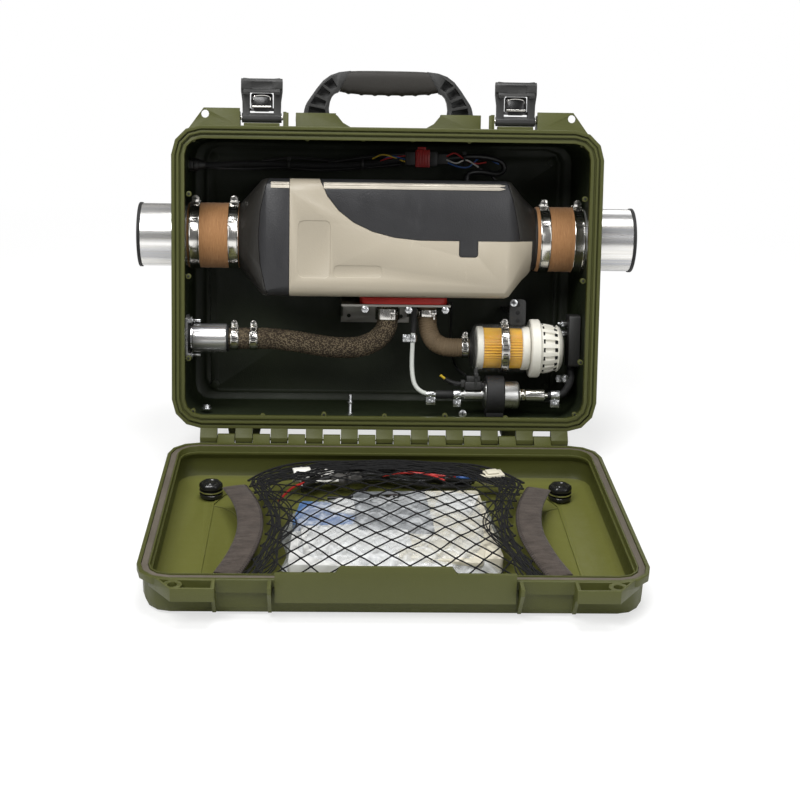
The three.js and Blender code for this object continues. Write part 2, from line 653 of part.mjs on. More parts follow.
function makeLidShell() {
  const catchBars = mirrored((side) => block(
    reach(side, INNER_EAR + 1, OUTER_EAR + 1), [LATCH_SIDE - 9, LATCH_SIDE],
    [-CATCH_DEPTH, -3]));
  let shell = join(
    tubBody(LID_DEPTH),
    ...mirrored(lidFlange),
    ...lidRibs(),
    ...catchBars,
    lidBand(),
    ...knuckles(false));
  const ledgeCut = loft([caseRing(OPENING_INSET - 2, -7), caseRing(OPENING_INSET - 2, 5)]);
  shell = cut(shell, tubCavity(LID_DEPTH, -9.5), ledgeCut, sealGroove());
  const panel = (inset, from, to) => prism('z', roundedRectangle(
    54 + inset - SIDE, SIDE - 54 - inset, PIN_TO_BEAD + 50.3 + inset, LATCH_SIDE - 50.7 - inset,
    40 - inset), from, to, 1);
  const recess = cut(
    panel(0, LID_FLOOR - 1, LID_FLOOR + PANEL_LINE), panel(3, LID_FLOOR - 2, LID_FLOOR + 3));
  const sockets = mirrored((side) => pipe(
    'z', 8, 2.4, LID_FLOOR - 1, LID_FLOOR + 2, [side * POST_X, POST_Y], FINE_ROUND));
  return cut(join(shell, recess, ...sockets), pinBore(),
    ...mirrored((side) => rod(
      'z', PADLOCK_RADIUS, -20, 5, [side * PADLOCK_X, PADLOCK_Y - 2], 10)));
}

function makeLidGasket() {
  const top = -GROOVE_DEPTH + CLEARANCE + GASKET_HEIGHT;
  return cut(
    loft([
      caseRing(GROOVE_OUTER + 0.4, -GROOVE_DEPTH + CLEARANCE),
      caseRing(GROOVE_OUTER + 0.4, top - 0.5),
      caseRing(GROOVE_OUTER + 1.2, top),
    ]),
    loft([
      caseRing(GROOVE_INNER - 1.2, top + 0.2),
      caseRing(GROOVE_INNER - 0.4, top - 0.5),
      caseRing(GROOVE_INNER - 0.4, -GROOVE_DEPTH - 1),
    ].reverse()));
}

// ---------------------------------------------------------------- latches and handle

function makeLatchArm(side) {
  const middle = side * LATCH_X;
  const half = LATCH_WIDTH / 2;
  const top = LATCH_PIVOT_Y + LATCH_LENGTH;
  const barFoot = top - LATCH_BAR_HEIGHT;
  const x = (value) => middle + value;
  const depth = LATCH_PIVOT_DEPTH;
  const outline = polygon([
    [x(-half + 2), LATCH_PIVOT_Y], [x(half - 2), LATCH_PIVOT_Y],
    [x(half - 1.6), barFoot - 12], [x(half), barFoot], [x(half), top - 3],
    [x(half - 3), top], [x(8), top - 1.2], [x(-8), top - 1.2], [x(-half + 3), top],
    [x(-half), top - 3], [x(-half), barFoot], [x(-half + 1.6), barFoot - 12],
  ]);
  const bar = prism('x', polygon([
    [barFoot, -depth + 3.5], [barFoot + 3, -depth + 6.6], [top - 4, -depth + 6.6],
    [top - 0.6, -depth + 3.5], [top - 0.6, -depth - 3.5], [top - 4, -depth - 6],
    [barFoot + 1, -depth - 6],
  ]), x(-half + 0.2), x(half - 0.2));
  // The claw that closes under the lid's catch bar.
  const claw = prism('x', polygon([
    [LATCH_PIVOT_Y + 26, -depth + 4], [LATCH_PIVOT_Y + 26, -depth + 11],
    [LATCH_PIVOT_Y + 29, -depth + 11.4], [LATCH_PIVOT_Y + 34, -depth + 4],
  ]), x(-half + 3), x(half - 3));
  const cheeks = prism('z', outline, -depth - 4.8, -depth + 4.8);
  const window = block(
    [x(-13.8), x(13.8)], [LATCH_PIVOT_Y + 1, barFoot - 1.4], [-depth - 20, -depth + 20]);
  const pad = prism(
    'z', roundedRectangle(x(-12), x(12), barFoot + 2.5, top - 4, 2), -depth + 5.4, -depth + 9, 1);
  const barrel = rod('x', LATCH_BARREL, x(-half + 1), x(half - 1),
    [LATCH_PIVOT_Y, -depth]);
  const overEars = half + EAR_PLAY + EAR_THICKNESS;
  const trunnion = rod('x', LATCH_TRUNNION, x(-overEars), x(overEars),
    [LATCH_PIVOT_Y, -depth], FINE_ROUND);
  const leverBore = rod('x', 2.3, x(-17.5), x(17.5),
    [LATCH_PIVOT_Y + LEVER_RISE, -depth], FINE_ROUND);
  return cut(join(cut(join(cheeks, bar, claw), window), barrel, trunnion), pad, leverBore);
}

// U-shaped wire of the latch lever.
function bailOutline(x, foot, top) {
  const [outer, inner, wire, bend] = [12.6, 9.8, 2.8, 6];
  const shape = new THREE.Shape();
  shape.moveTo(x(-outer), foot);
  shape.lineTo(x(-inner), foot);
  shape.absarc(x(bend - outer), top - bend, bend - wire, Math.PI, Math.PI / 2, true);
  shape.absarc(x(outer - bend), top - bend, bend - wire, Math.PI / 2, 0, true);
  shape.lineTo(x(inner), foot);
  shape.lineTo(x(outer), foot);
  shape.absarc(x(outer - bend), top - bend, bend, 0, Math.PI / 2, false);
  shape.absarc(x(bend - outer), top - bend, bend, Math.PI / 2, Math.PI, false);
  return shape;
}

function makeLatchLever(side) {
  const middle = side * LATCH_X;
  const x = (value) => middle + value;
  const depth = LATCH_PIVOT_DEPTH;
  const pivot = LATCH_PIVOT_Y + LEVER_RISE;
  const plate = prism('z', roundedRectangle(
    x(-9), x(9), pivot - 2.4, pivot + LEVER_LENGTH - 2.5, 1.5), -depth - 2, -depth + 2, 1);
  const pin = rod('x', 1.8, x(-17), x(17), [pivot, -depth], FINE_ROUND);
  const top = pivot + LEVER_LENGTH;
  const bail = prism('z', bailOutline(x, pivot, top), -depth - 1.4, -depth + 1.4, 1);
  return join(plate, pin, bail);
}

// One arm of the handle, drawn on the right and mirrored by its sign.
function handleArm(side) {
  const shape = new THREE.Shape();
  const up = (height) => HANDLE_PIVOT_Y + height;
  const [inner, outer] = [side * ARM_FOOT_INNER, side * ARM_FOOT_OUTER];
  shape.moveTo(inner, up(0));
  shape.lineTo(inner + side * 1.4, up(13));
  shape.quadraticCurveTo(inner, up(30.5), inner - side * 9.4, up(31.6));
  shape.lineTo(inner - side * 23.6, HANDLE_TOP - 1);
  shape.bezierCurveTo(outer - side * 35, up(55), outer - side * 25, up(50),
    outer - side * 15, up(35));
  shape.lineTo(outer - side * 4, up(19));
  shape.quadraticCurveTo(outer, up(12), outer, up(0));
  const arm = prism('z', shape, -ARM_THICKNESS / 2, ARM_THICKNESS / 2, 4);
  const pockets = [
    [[5, 7], [25.5, 7], [24, 15], [6, 11.5]],
    [[6, 14.5], [23, 18.2], [17.5, 26.5], [4.6, 20.8]],
    [[4, 23.6], [15.8, 29.2], [9.4, 38.2], [-0.4, 30.6]],
    [[-2.2, 33], [7.6, 40.6], [-2, 47.5], [-8.4, 37.5]],
  ].map((corners) => polygon(corners.map(([px, py]) => [inner + side * px, up(py)])));
  return cut(arm, ...pockets.map((pocket) => prism(
    'z', pocket, 3.5 - ARM_THICKNESS / 2, ARM_THICKNESS)));
}

function makeHandleFrame() {
  const level = HANDLE_TOP - GRIP_HEIGHT / 2;
  const core = block([-54, 54], [level - CORE_HEIGHT / 2, level + CORE_HEIGHT / 2],
    [-CORE_THICKNESS / 2, CORE_THICKNESS / 2]);
  const feet = mirrored((side) => {
    const foot = reach(side, ARM_FOOT_INNER, ARM_FOOT_OUTER);
    const pin = reach(side, ARM_FOOT_INNER - 7.4, ARM_FOOT_OUTER + 9);
    return join(rod('x', 6.6, ...foot, [HANDLE_PIVOT_Y, 0]),
      rod('x', HANDLE_PIN, ...pin, [HANDLE_PIVOT_Y, 0], FINE_ROUND));
  });
  return join(handleArm(1), handleArm(-1), core, ...feet)
    .translate([0, 0, -HANDLE_PIVOT_DEPTH]);
}

function makeHandleGrip() {
  const level = HANDLE_TOP - GRIP_HEIGHT / 2;
  const stations = 10;
  const rings = [];
  for (let i = 0; i <= stations; i += 1) {
    const share = (2 * i) / stations - 1;
    const bump = 1.3 * Math.max(0, Math.cos(share * Math.PI * 4.2)) * (1 - share ** 6);
    rings.push(roundedPoints(GRIP_HEIGHT / 2, GRIP_THICKNESS / 2, 9, 2).map(([y, z]) => {
      const height = y < 0 ? y * (1 + bump / 22) : y;
      const reach = GRIP_HALF_LENGTH - GRIP_SLANT * y;
      return [share * reach, level + height, z - HANDLE_PIVOT_DEPTH];
    }));
  }
  const bore = block([-90, 90],
    [level - CORE_HEIGHT / 2 - CLEARANCE, level + CORE_HEIGHT / 2 + CLEARANCE],
    [-CORE_THICKNESS / 2 - CLEARANCE - HANDLE_PIVOT_DEPTH,
      CORE_THICKNESS / 2 + CLEARANCE - HANDLE_PIVOT_DEPTH]);
  return cut(loft(rings), bore);
}

// ---------------------------------------------------------------- heater

// Cross-sections of the heater's casing from the inlet mouth to the outlet mouth.
function casingSections(shrink) {
  const end = HEATER_HALF_LENGTH;
  const sections = [
    [-end, HOOD_RADIUS, HOOD_RADIUS, HOOD_RADIUS],
    [-end + 28, HEATER_HALF_HEIGHT - 1.5, HEATER_HALF_THICKNESS - 1.5, 18],
    [-end + 34, HEATER_HALF_HEIGHT, HEATER_HALF_THICKNESS, 14],
    [end - 38, HEATER_HALF_HEIGHT, HEATER_HALF_THICKNESS, 14],
    [end - 32, HEATER_HALF_HEIGHT - 1.5, HEATER_HALF_THICKNESS - 1.5, 18],
    [end - 14, HOOD_RADIUS + 11, HOOD_RADIUS + 9, 30],
    [end, HOOD_RADIUS, HOOD_RADIUS, HOOD_RADIUS],
  ];
  return sections.map(([x, halfY, halfZ, radius]) => {
    const overrun = shrink > 0 && Math.abs(x) === end ? Math.sign(x) : 0;
    return roundedPoints(halfY - shrink, halfZ - shrink, radius - shrink, 3).map(([y, z]) => [
      heaterX(x) + overrun, HEATER_Y + y, z - HEATER_DEPTH]);
  });
}

// Front-view regions of the casing pieces. Each is drawn as a prism through the heater.
function inletRegion(shift) {
  const shape = new THREE.Shape();
  const top = HEATER_Y + 90;
  const bottom = HEATER_Y - 90;
  const [edge, belly] = [heaterX(-133) + shift, heaterX(-173) + shift];
  shape.moveTo(heaterX(-300), bottom);
  shape.lineTo(edge, bottom);
  shape.quadraticCurveTo(belly, HEATER_Y, edge, top);
  shape.lineTo(heaterX(-300), top);
  return shape;
}

function outletRegion(shift) {
  const shape = new THREE.Shape();
  const top = HEATER_Y + 90;
  const mouth = heaterX(HEATER_HALF_LENGTH - 4) + shift;
  shape.moveTo(mouth, HEATER_Y - 90);
  shape.lineTo(heaterX(300), HEATER_Y - 90);
  shape.lineTo(heaterX(300), top);
  shape.lineTo(heaterX(131) + shift, top);
  shape.quadraticCurveTo(heaterX(150) + shift, SEAM_Y + 42,
    heaterX(156) + shift, SEAM_Y + CASING_GAP + shift);
  shape.lineTo(mouth, SEAM_Y + CASING_GAP + shift);
  return shape;
}

const BAND_LEFT = heaterX(-116); // the light casing wraps over the top between these
const BAND_RIGHT = heaterX(-81);
const WINDOW = {
  left: heaterX(83), right: heaterX(105.5), bottom: HEATER_Y - 20.5, radius: 3,
};
// Where the seam leaves its level part and where it meets the band over the top.
const SEAM_BEND = [heaterX(37), SEAM_Y];
const SEAM_TOP = HEATER_Y + 68.5;

function lightRegion() {
  const shape = new THREE.Shape();
  const top = HEATER_Y + 90;
  shape.moveTo(BAND_LEFT, HEATER_Y - 90);
  shape.lineTo(heaterX(300), HEATER_Y - 90);
  shape.lineTo(heaterX(300), SEAM_Y);
  shape.lineTo(...SEAM_BEND);
  shape.bezierCurveTo(heaterX(-27), SEAM_Y + 2, heaterX(-68), SEAM_Y + 28, BAND_RIGHT, SEAM_TOP);
  shape.lineTo(BAND_RIGHT, top);
  shape.lineTo(BAND_LEFT, top);
  return shape;
}

function darkRegion() {
  const gap = CASING_GAP;
  const shape = new THREE.Shape();
  const top = HEATER_Y + 90;
  shape.moveTo(heaterX(300), SEAM_Y + gap);
  shape.lineTo(heaterX(300), top);
  shape.lineTo(BAND_RIGHT + gap, top);
  shape.lineTo(BAND_RIGHT + gap, SEAM_TOP + gap);
  shape.bezierCurveTo(heaterX(-68) + gap, SEAM_Y + 28 + gap, heaterX(-27) + gap,
    SEAM_Y + 2 + gap, SEAM_BEND[0], SEAM_Y + gap);
  return shape;
}

const through = (shape) => prism('z', shape, -HEATER_DEPTH - 90, -HEATER_DEPTH + 90, 6);
const FRONT_FACE = -HEATER_DEPTH + HEATER_HALF_THICKNESS;
const windowCut = (grow) => prism('z', roundedRectangle(
  WINDOW.left - grow, WINDOW.right + grow, WINDOW.bottom - grow, SEAM_Y + 6,
  WINDOW.radius), FRONT_FACE - 8, FRONT_FACE + 2, 1);

function makeCasings() {
  const body = cut(loft(casingSections(0)), loft(casingSections(CASING_WALL)));
  const inlet = through(inletRegion(0));
  const inletGrown = through(inletRegion(CASING_GAP));
  const outlet = through(outletRegion(0));
  const outletGrown = through(outletRegion(-CASING_GAP));
  const light = through(lightRegion());
  const collar = (from, to) => pipe('x', HOOD_RADIUS - 1.4, HOOD_RADIUS - 3.4, from, to,
    HEATER_AXIS);
  const foot = block([EXHAUST_PORT_X - 24, INTAKE_PORT_X + 20], [HEATER_Y - 90, HEATER_Y - 50],
    [-PORT_DEPTH - 26, -PORT_DEPTH + 28]);
  const labels = [
    roundedRectangle(heaterX(-106), heaterX(-68), HEATER_Y - 46.5, HEATER_Y + 20.5, 6),
    roundedRectangle(heaterX(-64), heaterX(-7), HEATER_Y - 45.5, HEATER_Y - 31.5, 5),
  ].map((shape) => prism('z', shape, FRONT_FACE - 0.8, FRONT_FACE + 2, 1));
  const ring = block([heaterX(-300), BAND_LEFT - CASING_GAP],
    [HEATER_Y - 90, HEATER_Y + 90], [-HEATER_DEPTH - 90, -HEATER_DEPTH + 90]);
  const tab = body.intersect(cut(windowCut(-0.6), block(
    [WINDOW.left - 9, WINDOW.right + 9], [SEAM_Y + 3, SEAM_Y + 20],
    [-HEATER_DEPTH - 90, -HEATER_DEPTH + 90])));
  return {
    inletHood: join(body.intersect(inlet), collar(
      heaterX(-HEATER_HALF_LENGTH - 22), heaterX(-HEATER_HALF_LENGTH + 4))),
    inletCasing: cut(body.intersect(ring), inletGrown),
    lowerCasing: cut(body.intersect(light), outletGrown, windowCut(0), foot, ...labels),
    upperCasing: join(cut(body.intersect(through(darkRegion())), outletGrown), tab),
    outletHood: join(body.intersect(outlet), collar(
      heaterX(HEATER_HALF_LENGTH - 3), heaterX(HEATER_HALF_LENGTH + 22))),
  };
}

const EXCHANGER_HALF = [46, 44];
const BURNER_BORE = 25;

function finnedOutline() {
  const fins = 12;
  const points = [];
  for (let i = 0; i < fins; i += 1) {
    for (const [offset, isTip] of [[-0.24, 0], [-0.15, 1], [0.15, 1], [0.24, 0]]) {
      const angle = ((i + offset) / fins) * 2 * Math.PI;
      const [c, s] = [Math.cos(angle), Math.sin(angle)];
      const reach = Math.min(
        EXCHANGER_HALF[0] / Math.abs(c || 1e-6), EXCHANGER_HALF[1] / Math.abs(s || 1e-6), 54);
      const radius = isTip ? reach : 31;
      points.push([HEATER_Y + radius * c, -HEATER_DEPTH + radius * s]);
    }
  }
  return polygon(points);
}

function makeHeatExchanger() {
  const fins = prism('x', finnedOutline(), EXCHANGER_X[0] + 6, EXCHANGER_X[1]);
  const head = prism('x', roundedRectangle(
    HEATER_Y - 44, HEATER_Y + 44, -HEATER_DEPTH - 42, -HEATER_DEPTH + 42, 10),
  EXCHANGER_X[0], EXCHANGER_X[0] + 8, 1);
  const footTop = HEATER_Y - 28;
  const foot = block([EXHAUST_PORT_X - 22, INTAKE_PORT_X + 18], [FOOT_FACE, footTop],
    [-PORT_DEPTH - 24, -PORT_DEPTH + 26]);
  const stubs = [
    rod('y', EXHAUST_HOSE_BORE - SPIGOT_EASE, STUB_END, FOOT_FACE + 1,
      [-PORT_DEPTH, EXHAUST_PORT_X]),
    rod('y', INTAKE_HOSE_BORE - SPIGOT_EASE, STUB_END, FOOT_FACE + 1,
      [-PORT_DEPTH, INTAKE_PORT_X]),
  ];
  const bores = [
    rod('y', EXHAUST_HOSE_BORE - 3, STUB_END - 1, HEATER_Y - 10,
      [-PORT_DEPTH, EXHAUST_PORT_X], FINE_ROUND),
    rod('y', INTAKE_HOSE_BORE - 3, STUB_END - 1, HEATER_Y - 10,
      [-PORT_DEPTH, INTAKE_PORT_X], FINE_ROUND),
    rod('x', BURNER_BORE, EXCHANGER_X[0] - 1, EXCHANGER_X[1] - 5, HEATER_AXIS, 16),
  ];
  return cut(join(fins, head, foot, ...stubs), ...bores);
}

function portHoles(extra) {
  return [
    rod('y', EXHAUST_HOSE_BORE + extra, STUB_END, FOOT_FACE + 5,
      [-PORT_DEPTH, EXHAUST_PORT_X]),
    rod('y', INTAKE_HOSE_BORE + extra, STUB_END, FOOT_FACE + 5, [-PORT_DEPTH, INTAKE_PORT_X]),
    rod('y', FUEL_LINE_RADIUS + 1.2, STUB_END, FOOT_FACE + 5, [-FUEL_PORT_DEPTH, FUEL_PORT_X],
      FINE_ROUND),
  ];
}

function makeBaseGasket() {
  const plate = prism('y', roundedRectangle(
    -PORT_DEPTH - 30, -PORT_DEPTH + 32, EXHAUST_PORT_X - 34, INTAKE_PORT_X + 22, 10),
  GASKET_TOP - GASKET_PLATE, GASKET_TOP, 1);
  return cut(plate, ...portHoles(0.4));
}

// Bent sheet that holds the heater to the back of the case.
function makeMountBracket() {
  const back = BASE_FLOOR + CLEARANCE;
  const [left, right] = [EXHAUST_PORT_X - 56, EXHAUST_PORT_X + 30];
  const foot = SHEET_TOP - 30.8;
  const shelf = block([left, INTAKE_PORT_X + 25.5], [SHEET_TOP - BRACKET_SHEET, SHEET_TOP],
    [back, -PORT_DEPTH + 34]);
  const flange = block([left, right], [foot, SHEET_TOP], [back, back + BRACKET_SHEET]);
  const gussets = [left, right - BRACKET_SHEET].map((x) => prism('x', polygon([
    [SHEET_TOP - 1, back + 1], [SHEET_TOP - 1, back + 30], [foot + 6, back + 1],
  ]), x, x + BRACKET_SHEET));
  const screws = [left + 10, right - 10].map((x) => rod(
    'z', 2.6, back - 1, back + 5, [x, foot + 8], FINE_ROUND));
  return cut(join(shelf, flange, ...gussets), ...portHoles(1.2), ...screws);
}

function makeBurnerTube() {
  const outer = BURNER_BORE - 0.6;
  const start = EXCHANGER_X[0] + 10;
  const end = EXCHANGER_X[1] - 24;
  const plate = rod('x', outer - 0.5, start, start + 3, HEATER_AXIS, 12);
  const air = rod('x', 5, start - 1, start + 4, HEATER_AXIS, FINE_ROUND);
  const plugSeat = rod('x', 2.8, start - 1, start + 4, PLUG_PLACE, FINE_ROUND);
  return cut(join(pipe('x', outer, outer - 2, start, end, HEATER_AXIS, 16), plate),
    air, plugSeat);
}

function makeGlowPlug() {
  const start = EXCHANGER_X[0] + 5;
  return turned([
    [start, 0], [start, 3.4], [start + 4.6, 3.4], [start + 4.6, 2.2], [start + 24, 2.2],
    [start + 28, 0],
  ], PLUG_PLACE, FINE_ROUND);
}

const SHAFT_RADIUS = 3;

function makeFanMotor() {
  const can = turned([
    [MOTOR_X[0], 0], [MOTOR_X[0], 22], [MOTOR_X[0] + 4, 27], [MOTOR_X[1] - 4, 27],
    [MOTOR_X[1] - 4, 44], [MOTOR_X[1], 44], [MOTOR_X[1], 0],
  ], HEATER_AXIS, 12);
  // The housing of the combustion wheel joins the motor to the head of the exchanger.
  const housing = pipe('x', 34, 31, MOTOR_X[1] - 1, EXCHANGER_X[0] - CLEARANCE,
    HEATER_AXIS, 12);
  const shaftBore = rod('x', SHAFT_RADIUS + RUNNING, MOTOR_X[0] - 1, MOTOR_X[1] + 1,
    HEATER_AXIS, FINE_ROUND);
  return cut(join(can, housing), shaftBore);
}

function makeAirImpeller() {
  const [y, z] = HEATER_AXIS;
  const hub = turned([
    [IMPELLER_X - 14, 0], [IMPELLER_X - 12, 8], [IMPELLER_X - 4, 15], [IMPELLER_X + 12, 17],
    [IMPELLER_X + 12, SHAFT_RADIUS], [WHEEL_X + 8, SHAFT_RADIUS], [WHEEL_X + 8, 0],
  ], HEATER_AXIS, FINE_ROUND);
  const blades = [];
  const count = 7;
  for (let i = 0; i < count; i += 1) {
    const rings = [[13, 55], [52, 30]].map(([radius, pitch]) => {
      const angle = THREE.MathUtils.degToRad(pitch);
      const [c, s] = [Math.cos(angle), Math.sin(angle)];
      return [[-9, -0.8], [9, -0.8], [9, 0.8], [-9, 0.8]].map(([across, thick]) => [
        IMPELLER_X + across * s + thick * c, radius, across * c - thick * s]);
    });
    blades.push(loft(rings).rotate([(360 * i) / count, 0, 0]).translate([0, y, z]));
  }
  return join(hub, ...blades);
}

function makeCombustionWheel() {
  const [y, z] = HEATER_AXIS;
  const bore = SHAFT_RADIUS + CLEARANCE;
  const disc = pipe('x', 28, bore, WHEEL_X + 5, WHEEL_X + 7, [0, 0], 12);
  const hub = pipe('x', 7, bore, WHEEL_X - 1, WHEEL_X + 6, [0, 0], 12);
  const vanes = [];
  for (let i = 0; i < 6; i += 1) {
    vanes.push(block([WHEEL_X - 1, WHEEL_X + 5.5], [11, 27], [-0.6, 0.6])
      .rotate([60 * i, 0, 0]));
  }
  return join(disc, hub, ...vanes).translate([0, y, z]);
}

function makeControlBoard() {
  const seat = HEATER_Y + EXCHANGER_HALF[0] + CLEARANCE;
  const height = seat + 6;
  const start = EXCHANGER_X[0] + 8;
  const board = block([0, 96], [height, height + 1.6], [-34, 34]);
  const posts = [[8, -19], [8, 19], [88, -19], [88, 19]].map(([x, z]) => block(
    [x - 3, x + 3], [seat, height + 1], [z - 3, z + 3]));
  const chips = [
    block([10, 36], [height + 1, height + 5], [-20, 4]),
    block([48, 60], [height + 1, height + 9], [-24, 20]),
    block([74, 90], [height + 1, height + 7], [-8, 26]),
  ];
  return join(board, ...posts, ...chips).translate([start, 0, -HEATER_DEPTH]);
}

// ---------------------------------------------------------------- ducts and clamps

function makeWallDuct(side) {
  const axis = HEATER_AXIS;
  const inner = side < 0 ? heaterX(-HEATER_HALF_LENGTH - 23) : heaterX(HEATER_HALF_LENGTH + 23);
  const ends = [inner, side * DUCT_REACH].sort((a, b) => a - b);
  const bore = rod('x', DUCT_RADIUS - DUCT_WALL, -CASE_WIDTH, CASE_WIDTH, axis, ROUND);
  return cut(rod('x', DUCT_RADIUS, ...ends, axis, ROUND), bore);
}

// Rubber edge over the open end of a duct.
function makeDuctTrim(side) {
  const grip = DUCT_RADIUS + CLEARANCE;
  const face = DUCT_REACH + CLEARANCE;
  const mouth = DUCT_RADIUS - DUCT_WALL - 0.6;
  const profile = [
    [DUCT_REACH - 7, grip], [face, grip], [face, mouth], [face + 2, mouth],
    [face + 2, grip + 1.8], [DUCT_REACH - 7, grip + 1.8], [DUCT_REACH - 7, grip],
  ].map(([along, radius]) => [side * along, radius]);
  return turned(side < 0 ? profile : profile.reverse(), HEATER_AXIS, ROUND);
}

function makeDuctSleeve([from, to]) {
  const bore = DUCT_RADIUS + CLEARANCE;
  return pipe('x', bore + SLEEVE_WALL, bore, from, to, HEATER_AXIS);
}

// Inside radius of a ring that clears a tube whose facets may be turned from its own.
const roundTube = (radius, sides) => (radius + CLEARANCE) / Math.cos(Math.PI / sides);

// Worm-drive clamp round an x axis: a band with a screw housing on its top front.
function wormClamp(x, axis, radius, width, sides, lift = 20) {
  const band = pipe('x', radius + CLAMP_BAND, radius, x - width / 2, x + width / 2,
    [0, 0], sides);
  const seat = (radius + CLAMP_BAND) * Math.cos(Math.PI / sides) - 0.4;
  const scale = width / 12;
  const housing = block([x - width * 0.42, x + width * 0.42], [seat, seat + 5 * scale],
    [-5.5 * scale, 5.5 * scale]);
  const screw = rod('z', 3.4 * scale, -6.5 * scale, 11 * scale, [x, seat + 4.6 * scale], 6);
  return join(band, join(housing, screw).rotate([lift, 0, 0]))
    .translate([0, axis[0], axis[1]]);
}

// ---------------------------------------------------------------- exhaust

function makeExhaustOutlet() {
  const inside = -(SIDE - wallInset(-PORT_DEPTH - 20) - WALL) + CLEARANCE;
  const flange = prism('x', roundedRectangle(EXHAUST_Y - 28, EXHAUST_Y + 28,
    -PORT_DEPTH - 20, -PORT_DEPTH + 20, 8), inside, inside + 2.4, 1);
  const tube = rod('x', EXHAUST_TUBE_RADIUS, 3 - SIDE, EXHAUST_JOIN - CLEARANCE, EXHAUST_AXIS);
  const spigot = rod('x', EXHAUST_HOSE_BORE - SPIGOT_EASE, EXHAUST_JOIN - 2,
    EXHAUST_JOIN + EXHAUST_SPIGOT, EXHAUST_AXIS);
  const bore = rod('x', EXHAUST_HOSE_BORE - 3, -SIDE - 5, EXHAUST_JOIN + EXHAUST_SPIGOT + 5,
    EXHAUST_AXIS, FINE_ROUND);
  const nuts = [-21, 21].map((offset) => rod('x', 4.2, inside + 1, inside + 7,
    [EXHAUST_Y + offset, -PORT_DEPTH], 6));
  return cut(join(flange, tube, spigot, ...nuts), bore);
}

function makeExhaustHose() {
  const z = -PORT_DEPTH;
  const top = SHEET_TOP - BRACKET_SHEET - 1;
  const hose = sweep([
    [EXHAUST_JOIN, EXHAUST_Y, z], [EXHAUST_JOIN + 29, EXHAUST_Y, z],
    [EXHAUST_JOIN + 51, EXHAUST_Y, z], [-105, EXHAUST_Y - 3.5, z], [-65, EXHAUST_Y - 9.5, z],
    [EXHAUST_PORT_X - 38, EXHAUST_Y - 9.5, z], [EXHAUST_PORT_X - 17, EXHAUST_Y - 2.5, z],
    [EXHAUST_PORT_X - 4, EXHAUST_Y + 9.5, z], [EXHAUST_PORT_X, EXHAUST_Y + 22.5, z],
    [EXHAUST_PORT_X, top, z],
  ], EXHAUST_HOSE_RADIUS, 14, SMALL_ROUND);
  return cut(hose,
    rod('x', EXHAUST_HOSE_BORE, EXHAUST_JOIN - 5, EXHAUST_JOIN + EXHAUST_SPIGOT + 2,
      EXHAUST_AXIS),
    rod('y', EXHAUST_HOSE_BORE, STUB_END - 1, top + 5, [z, EXHAUST_PORT_X]));
}

// ---------------------------------------------------------------- combustion air

function makeIntakeHose() {
  const z = -PORT_DEPTH;
  const f = -FILTER_DEPTH;
  const top = SHEET_TOP - BRACKET_SHEET - 1;
  const hose = sweep([
    [INTAKE_PORT_X, top, z], [INTAKE_PORT_X, FILTER_Y + 32, z],
    [INTAKE_PORT_X + 2.5, FILTER_Y + 18, z + 2], [INTAKE_PORT_X + 8.5, FILTER_Y + 7, z + 6],
    [INTAKE_PORT_X + 18.5, FILTER_Y + 1.4, f - 1], [CANISTER_START - 25, FILTER_Y, f],
    [CANISTER_START - 15, FILTER_Y, f], [CANISTER_START - CLEARANCE, FILTER_Y, f],
  ], INTAKE_HOSE_RADIUS, 10, SMALL_ROUND);
  return cut(hose,
    rod('x', INTAKE_HOSE_BORE, CANISTER_START - 16, CANISTER_START + 5, FILTER_AXIS),
    rod('y', INTAKE_HOSE_BORE, STUB_END - 1, top + 5, [z, INTAKE_PORT_X]));
}

function makeFilterCanister() {
  const [x0, x1] = [CANISTER_START, CANISTER_END];
  const r = CANISTER_RADIUS;
  const neck = INTAKE_HOSE_BORE - SPIGOT_EASE;
  const body = turned([
    [x0 - 15, 0], [x0 - 15, neck], [x0, neck], [x0, r - 5], [x0 + 2, r - 2], [x0 + 6, r],
    [x1 - CLEARANCE, r], [x1 - CLEARANCE, 0],
  ], FILTER_AXIS, FILTER_ROUND);
  const cavity = turned([
    [x0 - 16, 0], [x0 - 16, neck - 1.6], [x0 + CANISTER_WALL, neck - 1.6],
    [x0 + CANISTER_WALL, r - 6], [x0 + 6, r - CANISTER_WALL], [x1, r - CANISTER_WALL], [x1, 0],
  ], FILTER_AXIS, FILTER_ROUND);
  return cut(body, cavity);
}

function makeFilterElement() {
  const pleats = 15;
  const points = [];
  for (let i = 0; i < pleats * 2; i += 1) {
    const angle = (i / (pleats * 2)) * 2 * Math.PI;
    const radius = i % 2 ? ELEMENT_RADIUS - 3.2 : ELEMENT_RADIUS;
    points.push([FILTER_Y + radius * Math.cos(angle), -FILTER_DEPTH + radius * Math.sin(angle)]);
  }
  const shape = polygon(points);
  const start = CANISTER_START + ELEMENT_START;
  const folds = prism('x', shape, start + 2, CANISTER_END - CLEARANCE);
  const endDisc = rod('x', ELEMENT_RADIUS + 1, start, start + 3, FILTER_AXIS, FILTER_ROUND);
  return cut(join(folds, endDisc),
    rod('x', ELEMENT_RADIUS - 11.5, start + 3, CANISTER_END + 5, FILTER_AXIS));
}

